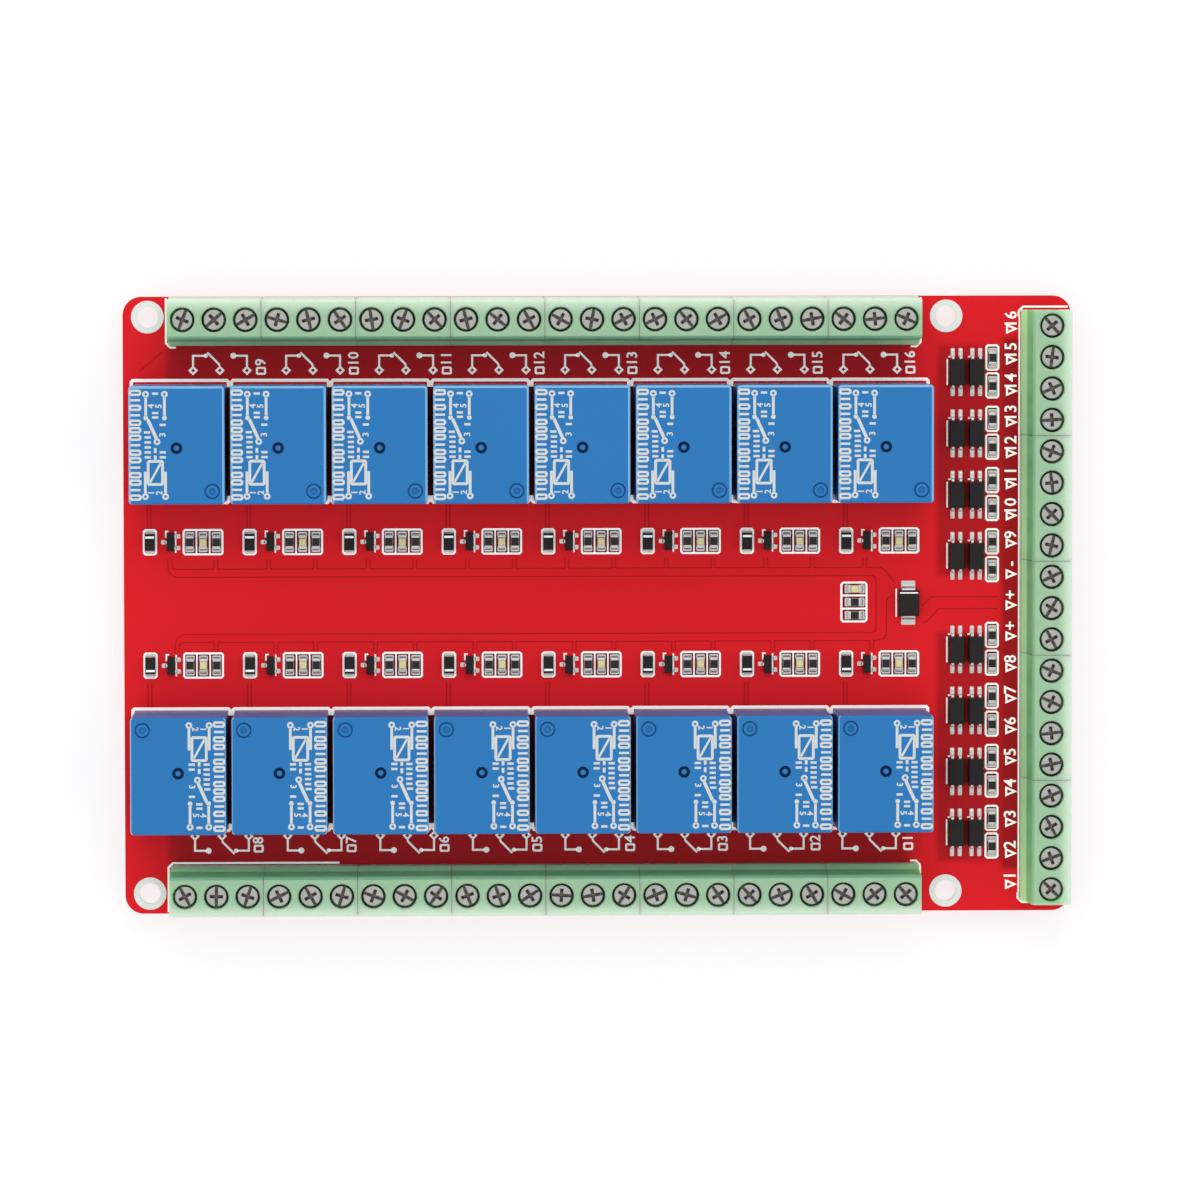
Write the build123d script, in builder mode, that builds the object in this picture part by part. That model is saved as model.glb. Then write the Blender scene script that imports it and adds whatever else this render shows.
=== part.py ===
import os
from build123d import *

# Sixteen-channel relay module board: eight relays along each long side, screw terminals on three
# sides, a driver stage beside each relay and eight pairs of optocouplers next to the input terminals.
# All sizes are in millimetres. The origin is the centre of the four mounting holes, on the underside
# of the board. +X runs along the board to the input terminals, +Z points away from the board.

# Circuit board
board_thickness = 1.6
board_corner_radius = 3.0
board_side_margin = 1.55            # from the relays' ends to the board's left edge
mounting_hole_diameter = 3.5
hole_to_long_edge = 3.3             # from a mounting hole's centre to the long edge
hole_to_short_edge = 3.6            # least distance from a mounting hole's centre to the left edge
hole_to_terminal_row = 4.04         # from a mounting hole's centre to the end of a terminal row

# Screw terminals
pole_pitch = 5.08
output_modules = [3] * 8            # poles of each block in a long row
input_modules = [4, 4, 3, 4, 4]     # poles of each block in the input column
housing_gap = 0.1                   # play between neighbouring blocks
housing_height = 10.0
housing_back = 4.3                  # screw axis to the rear foot, which faces the middle of the board
housing_front = 3.6                 # screw axis to the front foot
housing_front_face = 3.3            # screw axis to the wall with the wire entries
housing_top_front = 2.9             # screw axis to the front edge of the top
housing_top_back = 2.7              # screw axis to the rear edge of the top
front_foot_height = 1.4
back_foot_height = 2.3
back_waist = 3.55                   # screw axis to the rear wall above its foot
back_waist_height = 4.3
back_shoulder = 3.15                # screw axis to the rear wall under the top
back_shoulder_drop = 0.8
front_bevel = 0.4
entry_wall = 1.0                    # wall beside each wire entry
entry_floor = 2.4                   # board to the floor of a wire entry
entry_height = 3.4
entry_depth = 4.3
well_web = 0.8                      # between a wire entry and the screw well above it
screw_radius = 1.85
screw_clearance = 0.3
screw_recess = 0.8                  # top of the housing to the top of the screw
round_sides = 10                    # wells and screws repeat at every pole, so they have few facets
clamp_clearance = 0.1
clamp_thickness = 0.8
clamp_setback = 0.7
terminal_pin_width = 1.1
terminal_pin_depth = 0.8
terminal_pin_tail = 2.2             # length below the board
terminal_to_edge = 3.65             # output screws to the long edge of the board
input_to_edge = 3.92                # input screws to the short edge of the board
input_column_margin = 2.04          # ends of the input column to the long edges
input_column_shift = -0.23          # the column's centre along Y
output_row_shift = -0.58            # the rows' centre along X

# Relays
relays_per_row = 8
relay_width = 15.4
relay_length = 19.0
relay_height = 15.5
relay_gap = 0.88
relay_row_shift = -2.8              # the rows' centre along X
relay_top_bevel = 0.4
relay_base_height = 0.6
relay_base_inset = 0.25
vent_nib_radius = 1.0
vent_nib_height = 0.25
vent_nib_side = 2.0                 # nib centre to the relay's long side
vent_nib_end = 2.1                  # nib centre to the relay's end
symbol_strip = 6.24                 # bare board between relays and terminals
relay_pin_width = 1.0
relay_pin_depth = 0.6
relay_pin_spread = 6.0              # outer pins to the relay's centre line
contact_pin_end = 2.4               # contact pins to the relay's end
coil_pin_end = 4.4                  # coil pins to the other end
common_pin_end = 2.4                # common pin to that end
relay_pin_tail = 1.8                # length below the board

# Chip parts
chip_width = 1.25
chip_length = 2.0
chip_height = 0.5
led_height = 0.8
chip_pitch = 2.15                   # chips side by side in one outline
input_chip_offset = 2.3             # an input resistor's centre to the middle of its pair

# Driver stage of one relay
driver_gap = 7.05                   # relay's end to the middle of the stage
driver_row_shift = 0.33             # the two rows' middle along Y
driver_pitch_extra = 0.81           # pitch of the stages beyond a relay's width
flyback_offset = -4.98
transistor_offset = -1.6
first_chip_offset = 1.5
diode_body_width = 1.7
diode_body_length = 2.8
diode_body_height = 1.1
lead_thickness = 0.15
body_taper = 6                      # draft of the moulded bodies, in degrees
transistor_width = 1.3
transistor_length = 2.9
transistor_height = 1.0
transistor_lead_width = 0.45
transistor_lead_length = 0.6
transistor_lead_pitch = 1.9

# Optocouplers
input_pairs = 4                     # pairs above and below the supply terminals
input_pair_pitch = 10.0
upper_pair_start = 7.85
lower_pair_start = -7.45
opto_width = 2.6
opto_length = 4.4
opto_height = 2.0
opto_pitch = 3.2
opto_gap = 3.54                     # end of the relay row to the first optocoupler
opto_standoff = 0.1
opto_lead_pitch = 1.27
opto_lead_width = 0.4
opto_lead_thickness = 0.2
opto_lead_rise = 1.1                # board to the lead's upper side where it leaves the body
opto_lead_knee = 0.45
opto_lead_reach = 1.3
input_chip_gap = 0.75               # optocoupler to the input resistors
label_strip = 3.93                  # input resistors to the input terminals

# Power stage
power_chip_from_input = 31.35       # input screws to the power chips
power_chip_shift = 0.34             # middle power chip's place along Y
power_diode_from_input = 22.6
power_diode_shift = 0.2
power_diode_width = 3.5
power_diode_length = 4.3
power_diode_height = 2.2
power_lead_width = 2.1
power_lead_length = 0.9

# Worked out from the sizes above
output_row_length = sum(output_modules) * pole_pitch
input_column_length = sum(input_modules) * pole_pitch
board_width = input_column_length + 2 * input_column_margin
hole_spacing_x = output_row_length + 2 * hole_to_terminal_row
hole_spacing_y = board_width - 2 * hole_to_long_edge
relay_pitch = relay_width + relay_gap
relay_row_length = relays_per_row * relay_pitch - relay_gap
relay_row_left = relay_row_shift - relay_row_length / 2
relay_row_right = relay_row_shift + relay_row_length / 2
opto_x = relay_row_right + opto_gap + opto_width / 2
input_chip_x = opto_x + opto_pitch + opto_width / 2 + input_chip_gap + chip_width / 2
input_axis_x = input_chip_x + chip_width / 2 + label_strip + housing_back
board_left = min(relay_row_left - board_side_margin, -hole_spacing_x / 2 - hole_to_short_edge)
board_right = input_axis_x + input_to_edge
output_axis_y = board_width / 2 - terminal_to_edge
relay_y = output_axis_y - housing_back - symbol_strip - relay_length / 2
driver_y = relay_y - relay_length / 2 - driver_gap
driver_pitch = relay_width + driver_pitch_extra

os.makedirs("parts", exist_ok=True)


def save(piece, name):
    piece.part.label = name
    export_step(piece.part, f"parts/{name}.step")


# Places, each a location on the board's upper side with the piece's own +Y pointing outwards
def on_board(x, y, turn=0):
    return Location((x, y, board_thickness), (0, 0, turn))


relay_columns = [relay_row_left + relay_width / 2 + i * relay_pitch for i in range(relays_per_row)]
top_relays = [on_board(x, relay_y) for x in relay_columns]
bottom_relays = [on_board(x, -relay_y, 180) for x in relay_columns]
driver_columns = [relay_columns[0] + i * driver_pitch for i in range(relays_per_row)]
driver_rows = (driver_row_shift + driver_y, driver_row_shift - driver_y)
driver_places = [on_board(x, y) for y in driver_rows for x in driver_columns]
pair_rows = [upper_pair_start + i * input_pair_pitch for i in range(input_pairs)]
pair_rows += [lower_pair_start - i * input_pair_pitch for i in range(input_pairs)]
opto_places = [on_board(opto_x + side * opto_pitch, y) for y in pair_rows for side in (0, 1)]
top_row = on_board(output_row_shift, output_axis_y)
bottom_row = on_board(output_row_shift, -output_axis_y, 180)
input_column = on_board(input_axis_x, input_column_shift, -90)


def shifted(places, x=0.0, y=0.0):
    return [place * Location((x, y, 0)) for place in places]


def turned(places):
    return [place * Location((0, 0, 0), (0, 0, 180)) for place in places]


def pole_places(row, modules):
    first = -(sum(modules) - 1) / 2 * pole_pitch
    return [row * Location((first + i * pole_pitch, 0, 0)) for i in range(sum(modules))]


# Several copies of one solid, kept as separate solids in one file
def save_copies(piece, places, name):
    with BuildPart() as copies:
        with Locations(*places):
            add(piece)
    save(copies, name)


# Circuit board with its four mounting holes
with BuildPart() as circuit_board:
    with BuildSketch():
        with Locations(((board_left + board_right) / 2, 0)):
            RectangleRounded(board_right - board_left, board_width, board_corner_radius)
        with GridLocations(hole_spacing_x, hole_spacing_y, 2, 2):
            Circle(mounting_hole_diameter / 2, mode=Mode.SUBTRACT)
    extrude(amount=board_thickness)
save(circuit_board, "circuit_board")


# Screw terminal block: a moulded profile with a screw well over a wire entry at each pole
well_depth = housing_height - entry_floor - entry_height - well_web
entry_width = pole_pitch - 2 * entry_wall


def terminal_housing(poles):
    length = poles * pole_pitch - housing_gap
    with BuildPart() as housing:
        with BuildSketch(Plane.YZ.offset(-length / 2)):
            with BuildLine():
                Polyline(
                    (-housing_back, 0),
                    (housing_front, 0),
                    (housing_front, front_foot_height),
                    (housing_front_face, front_foot_height),
                    (housing_front_face, housing_height - front_bevel),
                    (housing_top_front, housing_height),
                    (-housing_top_back, housing_height),
                    (-back_shoulder, housing_height - back_shoulder_drop),
                    (-back_waist, back_waist_height),
                    (-housing_back, back_foot_height),
                    close=True,
                )
            make_face()
        extrude(amount=length)
        with BuildSketch(Plane.XY.offset(housing_height)):
            with GridLocations(pole_pitch, 1, poles, 1):
                RegularPolygon(screw_radius + screw_clearance, round_sides)
        extrude(amount=-well_depth, mode=Mode.SUBTRACT)
        with BuildSketch(Plane.XZ.offset(-housing_front_face)):
            with Locations((0, entry_floor + entry_height / 2)):
                with GridLocations(pole_pitch, 1, poles, 1):
                    Rectangle(entry_width, entry_height)
        extrude(amount=entry_depth, mode=Mode.SUBTRACT)
    return housing.part


# A screw stands on the floor of its well
with BuildPart() as screw:
    with BuildSketch(Plane.XY.offset(housing_height - well_depth)):
        RegularPolygon(screw_radius, round_sides)
    extrude(amount=well_depth - screw_recess)

# A clamp plate lies on the floor of its wire entry
clamp_length = entry_depth - clamp_setback - clamp_clearance
with BuildPart() as clamp:
    with BuildSketch(Plane.XY.offset(entry_floor)):
        with Locations((0, housing_front_face - clamp_setback - clamp_length / 2)):
            Rectangle(entry_width - 2 * clamp_clearance, clamp_length)
    extrude(amount=clamp_thickness)

# A pin's tail stands out below the board, where it is soldered
with BuildPart() as terminal_tail:
    with BuildSketch(Plane.XY.offset(-board_thickness)):
        Rectangle(terminal_pin_width, terminal_pin_depth)
    extrude(amount=-terminal_pin_tail)

all_poles = []
for row, modules, row_name in (
    (top_row, output_modules, "top"),
    (bottom_row, output_modules, "bottom"),
    (input_column, input_modules, "input"),
):
    housings = {poles: terminal_housing(poles) for poles in set(modules)}
    start = -sum(modules) * pole_pitch / 2
    for number, poles in enumerate(modules, start=1):
        middle = start + poles * pole_pitch / 2
        start += poles * pole_pitch
        save_copies(housings[poles], shifted([row], middle), f"{row_name}_terminal_{number}")
    row_poles = pole_places(row, modules)
    all_poles += row_poles
    save_copies(screw.part, row_poles, f"{row_name}_terminal_screws")
    save_copies(terminal_tail.part, row_poles, f"{row_name}_terminal_pins")
save_copies(clamp.part, all_poles, "terminal_clamps")

# Relay: sealed case with a vent nib, closed below by a base that stands on the board
with BuildPart() as relay_case:
    with BuildSketch(Plane.XY.offset(relay_base_height)):
        Rectangle(relay_width, relay_length)
    extrude(amount=relay_height - relay_base_height)
    chamfer(relay_case.faces().sort_by(Axis.Z)[-1].edges(), relay_top_bevel)
    with BuildSketch(Plane.XY.offset(relay_height)):
        with Locations((relay_width / 2 - vent_nib_side, vent_nib_end - relay_length / 2)):
            RegularPolygon(vent_nib_radius, round_sides)
    extrude(amount=vent_nib_height)

with BuildPart() as relay_base:
    with BuildSketch():
        Rectangle(relay_width - 2 * relay_base_inset, relay_length - 2 * relay_base_inset)
    extrude(amount=relay_base_height)

for number, place in enumerate(top_relays + bottom_relays, start=1):
    save_copies(relay_case.part, [place], f"relay_{number:02d}")
save_copies(relay_base.part, top_relays + bottom_relays, "relay_bases")

# Five pin tails under each relay: two contacts outwards, two coil ends and the common inwards
with BuildPart() as relay_tails:
    with BuildSketch(Plane.XY.offset(-board_thickness)):
        with Locations(
            (-relay_pin_spread, relay_length / 2 - contact_pin_end),
            (relay_pin_spread, relay_length / 2 - contact_pin_end),
            (-relay_pin_spread, coil_pin_end - relay_length / 2),
            (relay_pin_spread, coil_pin_end - relay_length / 2),
            (0, common_pin_end - relay_length / 2),
        ):
            Rectangle(relay_pin_width, relay_pin_depth)
    extrude(amount=-relay_pin_tail)
save_copies(relay_tails.part, top_relays, "top_relay_pins")
save_copies(relay_tails.part, bottom_relays, "bottom_relay_pins")


# Chip parts and small moulded bodies lie on the board; a draft narrows them upwards
def body_on_board(width, length, height, draft=0.0):
    with BuildPart() as body:
        with BuildSketch():
            Rectangle(width, length)
        extrude(amount=height, taper=draft)
    return body.part


resistor = body_on_board(chip_width, chip_length, chip_height)
indicator = body_on_board(chip_width, chip_length, led_height)
save_copies(resistor, shifted(driver_places, first_chip_offset), "base_resistors")
save_copies(indicator, shifted(driver_places, first_chip_offset + chip_pitch), "channel_leds")
save_copies(resistor, shifted(driver_places, first_chip_offset + 2 * chip_pitch), "led_resistors")

input_chips = [on_board(input_chip_x, y + side * input_chip_offset) for y in pair_rows for side in (-1, 1)]
save_copies(resistor, input_chips, "input_resistors")

power_chip_x = input_axis_x - power_chip_from_input
power_chips = [on_board(power_chip_x, power_chip_shift + i * chip_pitch, 90) for i in (-1, 0)]
save_copies(resistor, power_chips, "power_resistors")
save_copies(indicator, [on_board(power_chip_x, power_chip_shift + chip_pitch, 90)], "power_led")


# Flyback diodes and driver transistors; a transistor has one lead to the left and two to the right
diode_body = body_on_board(diode_body_width, diode_body_length, diode_body_height, body_taper)
transistor_body = body_on_board(transistor_width, transistor_length, transistor_height, body_taper)
with BuildPart() as transistor_lead:
    with BuildSketch():
        with Locations(((transistor_width + transistor_lead_length) / 2, 0)):
            Rectangle(transistor_lead_length, transistor_lead_width)
    extrude(amount=lead_thickness)
transistors = shifted(driver_places, transistor_offset)
lead_places = turned(transistors)
for side in (-1, 1):
    lead_places += shifted(transistors, 0, side * transistor_lead_pitch / 2)
save_copies(diode_body, shifted(driver_places, flyback_offset), "flyback_diodes")
save_copies(transistor_body, transistors, "transistor_bodies")
save_copies(transistor_lead.part, lead_places, "transistor_leads")

# Power diode, with a flat lead out of each end
with BuildPart() as power_diode:
    with BuildSketch():
        Rectangle(power_diode_width, power_diode_length)
    extrude(amount=power_diode_height, taper=body_taper)
    with BuildSketch():
        Rectangle(power_lead_width, power_diode_length + 2 * power_lead_length)
    extrude(amount=lead_thickness)
power_diode_place = on_board(input_axis_x - power_diode_from_input, power_diode_shift)
save_copies(power_diode.part, [power_diode_place], "power_diode")

# Optocouplers: a moulded body that narrows above its leads, with two bent leads at each end
with BuildPart() as opto_body:
    with BuildSketch(Plane.XY.offset(opto_standoff)):
        Rectangle(opto_width, opto_length)
    extrude(amount=opto_lead_rise - opto_standoff)
    with BuildSketch(Plane.XY.offset(opto_lead_rise)):
        Rectangle(opto_width, opto_length)
    extrude(amount=opto_height - opto_lead_rise, taper=body_taper)
save_copies(opto_body.part, opto_places, "optocoupler_bodies")

opto_end = opto_length / 2
with BuildPart() as opto_lead:
    with BuildSketch(Plane.YZ.offset(-opto_lead_width / 2)):
        with BuildLine():
            Polyline(
                (opto_end, opto_lead_rise),
                (opto_end, 0),
                (opto_end + opto_lead_reach, 0),
                (opto_end + opto_lead_reach, opto_lead_thickness),
                (opto_end + opto_lead_knee, opto_lead_thickness),
                (opto_end + opto_lead_thickness, opto_lead_rise),
                close=True,
            )
        make_face()
    extrude(amount=opto_lead_width)
opto_lead_places = []
for side in (-1, 1):
    opto_lead_places += shifted(opto_places, side * opto_lead_pitch / 2)
opto_lead_places += turned(opto_lead_places)
save_copies(opto_lead.part, opto_lead_places, "optocoupler_leads")
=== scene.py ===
import math
import random

import bmesh
import bpy
from mathutils import Matrix, Vector


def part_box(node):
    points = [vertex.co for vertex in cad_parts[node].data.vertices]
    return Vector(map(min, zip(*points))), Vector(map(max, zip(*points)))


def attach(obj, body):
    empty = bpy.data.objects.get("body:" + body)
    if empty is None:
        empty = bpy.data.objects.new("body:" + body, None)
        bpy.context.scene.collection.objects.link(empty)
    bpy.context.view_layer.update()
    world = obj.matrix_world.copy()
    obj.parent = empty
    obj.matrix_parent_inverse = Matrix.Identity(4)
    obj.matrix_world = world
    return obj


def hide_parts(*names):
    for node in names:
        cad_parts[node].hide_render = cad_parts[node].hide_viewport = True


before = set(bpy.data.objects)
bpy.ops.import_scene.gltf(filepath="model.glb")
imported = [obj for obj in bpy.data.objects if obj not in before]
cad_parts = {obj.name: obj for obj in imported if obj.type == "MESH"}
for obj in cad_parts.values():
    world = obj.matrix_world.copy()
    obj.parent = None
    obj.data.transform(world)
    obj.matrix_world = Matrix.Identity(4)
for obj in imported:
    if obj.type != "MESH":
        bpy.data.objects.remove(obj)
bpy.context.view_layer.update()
print("frame loaded,", len(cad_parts), "nodes")

# Sizes are in millimetres below. A master piece is modelled over the origin, with z = 0 on the
# board's upper side and its own +Y pointing outwards, and is then copied to its places.
mm = 0.001
boardTop = 1.6
boardBottom = -1.6       # the underside, seen from a master piece
dice = random.Random(41)


# Working steps shared by all pieces
def metres(point):
    return [value * mm for value in point]


def pickNone():
    bpy.ops.object.select_all(action="DESELECT")


def pickOnly(*objs):
    pickNone()
    for obj in objs:
        obj.select_set(True)
    bpy.context.view_layer.objects.active = objs[0]


def settle():
    bpy.ops.object.transform_apply(location=True, rotation=True, scale=True)
    return bpy.context.object


def addBlock(size, middle):
    pickNone()
    bpy.ops.mesh.primitive_cube_add(size=1, location=metres(middle), scale=metres(size))
    return settle()


# place is the middle of the lower end
def addRound(radius, height, place, sides=32, topRadius=None):
    upper = radius if topRadius is None else topRadius
    pickNone()
    bpy.ops.mesh.primitive_cone_add(
        vertices=sides, radius1=radius * mm, radius2=upper * mm, depth=height * mm,
        location=metres((place[0], place[1], place[2] + height / 2)))
    return settle()


# Opens a piece for editing, with all of it selected, or only the faces or edges that the test accepts
def openEdit(obj, kind="FACE", test=None):
    pickOnly(obj)
    bpy.ops.object.mode_set(mode="EDIT")
    bpy.ops.mesh.select_mode(type=kind)
    bpy.ops.mesh.select_all(action="DESELECT" if test else "SELECT")
    if test:
        shape = bmesh.from_edit_mesh(obj.data)
        for item in shape.faces if kind == "FACE" else shape.edges:
            if test(item):
                item.select_set(True)
        bmesh.update_edit_mesh(obj.data)


def closeEdit():
    bpy.ops.object.mode_set(mode="OBJECT")


def closeOutwards():
    bpy.ops.mesh.select_all(action="SELECT")
    bpy.ops.mesh.normals_make_consistent(inside=False)
    closeEdit()


# Extrudes all that is selected
def pushOut(x, y, z):
    bpy.ops.mesh.extrude_region_move(TRANSFORM_OT_translate={"value": metres((x, y, z))})


def faceUp(face):
    return face.normal.z > 0.9


def faceDown(face):
    return face.normal.z < -0.9


def upright(edge):
    a, b = (v.co for v in edge.verts)
    return (a.xy - b.xy).length < 1e-7


def edgeAtHeight(level):
    return lambda edge: all(abs(v.co.z / mm - level) < 0.01 for v in edge.verts)


def runsAlongY(edge):
    return abs(edge.verts[0].co.y - edge.verts[1].co.y) > mm


def anyEdge(edge):
    return True


def softenEdges(obj, test, width, steps=2):
    openEdit(obj, "EDGE", test)
    bpy.ops.mesh.bevel(offset=width * mm, segments=steps, affect="EDGES")
    closeEdit()


# Draws the selected faces in or out about their own middle
def resizeFaces(obj, test, factors, shift=(0, 0, 0)):
    openEdit(obj, "FACE", test)
    bpy.ops.transform.resize(value=factors)
    if any(shift):
        bpy.ops.transform.translate(value=metres(shift))
    closeEdit()


def cutWith(obj, tool):
    pickOnly(obj)
    cutter = obj.modifiers.new("cut", "BOOLEAN")
    cutter.operation = "DIFFERENCE"
    cutter.solver = "EXACT"
    cutter.object = tool
    bpy.ops.object.modifier_apply(modifier="cut")
    bpy.data.objects.remove(tool)


# Smooth shading with true flats: broad faces decide the normals at their soft edges
def smoothBelow(obj, degrees=35):
    pickOnly(obj)
    bpy.ops.object.shade_smooth_by_angle(angle=math.radians(degrees))
    weigh = obj.modifiers.new("weigh", "WEIGHTED_NORMAL")
    weigh.keep_sharp = True
    bpy.ops.object.modifier_apply(modifier="weigh")
    return obj


def joinAll(objs, name="part"):
    pickOnly(*objs)
    if len(objs) > 1:
        bpy.ops.object.join()
    piece = bpy.context.object
    piece.name = name
    piece.data.name = name
    return piece


mergeGap = 0.0005        # points nearer than this become one


def tidySkin(obj):
    openEdit(obj)
    bpy.ops.mesh.remove_doubles(threshold=mergeGap * mm)
    closeOutwards()
    return obj


# A closed loop through (x, y, z) points
def addLoop(points, fill="NGON"):
    pickNone()
    bpy.ops.mesh.primitive_circle_add(vertices=len(points), radius=mm, fill_type=fill)
    obj = bpy.context.object
    for vertex, point in zip(obj.data.vertices, points):
        vertex.co = metres(point)
    return obj


# A closed outline of (y, z) points, pushed out along X
def addProfile(outline, length):
    obj = addLoop([(-length / 2, y, z) for y, z in outline])
    openEdit(obj)
    pushOut(length, 0, 0)
    closeOutwards()
    return obj


# A strip of even width along (x, y) points, with mitred corners, raised to its height
def addStrip(points, width, base, height, closed=False):
    count = len(points) + (1 if closed else 0)
    pickNone()
    bpy.ops.mesh.primitive_grid_add(x_subdivisions=count - 1, y_subdivisions=1, size=1)
    obj = bpy.context.object
    line = [Vector(point) for point in points]
    offsets = []
    for i, here in enumerate(line):
        before = line[i - 1] if closed or i else None
        after = line[(i + 1) % len(line)] if closed or i < len(line) - 1 else None
        steps = (here - before if before else None, after - here if after else None)
        ways = [step.normalized() for step in steps if step]
        sides = [Vector((-w.y, w.x)) for w in ways]
        mitre = sum(sides, Vector((0, 0))).normalized()
        offsets.append(mitre * (width / 2 / mitre.dot(sides[0])))
    for vertex in obj.data.vertices:
        column = round((vertex.co.x + 0.5) * (count - 1)) % len(line)
        side = 1 if vertex.co.y > 0 else -1
        spot = line[column] + offsets[column] * side
        vertex.co = metres((spot.x, spot.y, base))
    openEdit(obj)
    if closed:
        bpy.ops.mesh.remove_doubles(threshold=mergeGap * mm)
    pushOut(0, 0, height)
    closeOutwards()
    return obj


def arc(x, y, radius, start, end, steps):
    turns = [math.radians(start + (end - start) * i / steps) for i in range(steps + 1)]
    return [(x + radius * math.cos(t), y + radius * math.sin(t)) for t in turns]


def addRing(x, y, outer, inner, base, height, sides):
    middle = arc(x, y, (outer + inner) / 2, 0, 360, sides)[:-1]
    return addStrip(middle, outer - inner, base, height, True)


# A box outline with cut-off corners
def boxLine(x, y, width, length, corner):
    w, l, c = width / 2, length / 2, corner
    return [(x - w + c, y - l), (x + w - c, y - l), (x + w, y - l + c), (x + w, y + l - c),
            (x + w - c, y + l), (x - w + c, y + l), (x - w, y + l - c), (x - w, y - l + c)]


numberSwell = 0.035      # how much bolder the plain digits are drawn


def addNumber(body, x, y, size, turn, base, height):
    pickNone()
    bpy.ops.object.text_add(location=(0, 0, 0))
    text = bpy.context.object
    text.data.body = body
    text.data.size = size * mm
    text.data.align_x = "CENTER"
    text.data.align_y = "CENTER"
    text.data.resolution_u = 2
    text.data.extrude = height * mm / 2
    text.data.offset = numberSwell * mm
    bpy.ops.object.convert(target="MESH")
    piece = tidySkin(bpy.context.object)
    piece.location = metres((x, y, base + height / 2))
    piece.rotation_euler = (0, 0, math.radians(turn))
    pickOnly(piece)
    return settle()


def spin(degrees):
    return Matrix.Rotation(math.radians(degrees), 4, "Z")


def shiftBy(x, y=0, z=0):
    return Matrix.Translation(metres((x, y, z)))


# Turns a strip's (length, height) plane upright, so that it runs along +Y with its width along X
def standUp(obj, width):
    stand = Matrix(((0, 0, 1, -width / 2 * mm), (1, 0, 0, 0), (0, 1, 0, 0), (0, 0, 0, 1)))
    obj.data.transform(stand)
    return obj


def copyTo(master, x, y, turn):
    copy = master.copy()
    copy.data = master.data.copy()
    bpy.context.scene.collection.objects.link(copy)
    copy.data.transform(shiftBy(x, y, boardTop) @ spin(turn))
    return copy


def spread(master, places, name):
    copies = [copyTo(master, *place) for place in places]
    bpy.data.objects.remove(master)
    return joinAll(copies, name)


def paint(obj, *coats):
    obj.data.materials.clear()
    for coat in coats:
        obj.data.materials.append(coat)
    return obj


def finishPiece(obj, name, slotName, *nodes):
    obj.name = name
    obj.data.name = name
    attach(obj, "root")
    if nodes:
        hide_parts(*nodes)


# Copies a painted master to its places and finishes them as one piece
def placePiece(master, places, name, slotName, *nodes):
    finishPiece(spread(master, places, name), name, slotName, *nodes)


# Effects that several finishes share
def newGroup(name, inputs, outputs):
    group = bpy.data.node_groups.new(name, "ShaderNodeTree")
    for label, kind, value in inputs:
        socket = group.interface.new_socket(name=label, in_out="INPUT", socket_type=kind)
        socket.default_value = value
    for label, kind in outputs:
        group.interface.new_socket(name=label, in_out="OUTPUT", socket_type=kind)
    start = group.nodes.new("NodeGroupInput")
    end = group.nodes.new("NodeGroupOutput")
    return group, start, end


# Sets a socket to a plain number, or links it to another socket
def feed(tree, socket, value):
    if isinstance(value, (int, float)):
        socket.default_value = value
    else:
        tree.links.new(value, socket)


def setAll(node, values):
    for label, value in values.items():
        node.inputs[label].default_value = value


def mathNode(tree, operation, *values):
    node = tree.nodes.new("ShaderNodeMath")
    node.operation = operation
    for socket, value in zip(node.inputs, values):
        feed(tree, socket, value)
    return node.outputs[0]


def noiseNode(tree, scale, detail, stretch=None):
    place = tree.nodes.new("ShaderNodeTexCoord").outputs["Object"]
    if stretch:
        mapping = tree.nodes.new("ShaderNodeMapping")
        mapping.inputs["Scale"].default_value = stretch
        tree.links.new(place, mapping.inputs["Vector"])
        place = mapping.outputs["Vector"]
    noise = tree.nodes.new("ShaderNodeTexNoise")
    noise.inputs["Detail"].default_value = detail
    tree.links.new(place, noise.inputs["Vector"])
    feed(tree, noise.inputs["Scale"], scale)
    return noise.outputs["Fac"]


def makeToneDrift():
    group, start, end = newGroup(
        "toneDrift",
        [("Colour", "NodeSocketColor", (0.5, 0.5, 0.5, 1)), ("Amount", "NodeSocketFloat", 0.05),
         ("Size", "NodeSocketFloat", 60)],
        [("Colour", "NodeSocketColor")])
    drift = mathNode(group, "SUBTRACT", noiseNode(group, start.outputs["Size"], 3), 0.5)
    shade = group.nodes.new("ShaderNodeHueSaturation")
    feed(group, shade.inputs["Value"], mathNode(group, "MULTIPLY_ADD", drift, start.outputs["Amount"], 1))
    feed(group, shade.inputs["Color"], start.outputs["Colour"])
    feed(group, end.inputs["Colour"], shade.outputs["Color"])
    return group


def makeGrain(name, stretch=None, detail=4):
    group, start, end = newGroup(
        name,
        [("Size", "NodeSocketFloat", 4000), ("Roughness", "NodeSocketFloat", 0.4),
         ("Swing", "NodeSocketFloat", 0.15)],
        [("Height", "NodeSocketFloat"), ("Roughness", "NodeSocketFloat")])
    grain = noiseNode(group, start.outputs["Size"], detail, stretch)
    centred = mathNode(group, "SUBTRACT", grain, 0.5)
    rough = mathNode(group, "MULTIPLY_ADD", centred, start.outputs["Swing"], start.outputs["Roughness"])
    feed(group, end.inputs["Height"], grain)
    feed(group, end.inputs["Roughness"], rough)
    return group


toneDrift = makeToneDrift()
mouldGrain = makeGrain("mouldGrain")
brushedGrain = makeGrain("brushedGrain", stretch=(1, 14, 1), detail=2)


# A colour as a painter's 0 to 255 values
def tint(red, green, blue):
    def linear(level):
        level /= 255
        return level / 12.92 if level <= 0.04045 else ((level + 0.055) / 1.055) ** 2.4
    return (linear(red), linear(green), linear(blue), 1)


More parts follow.
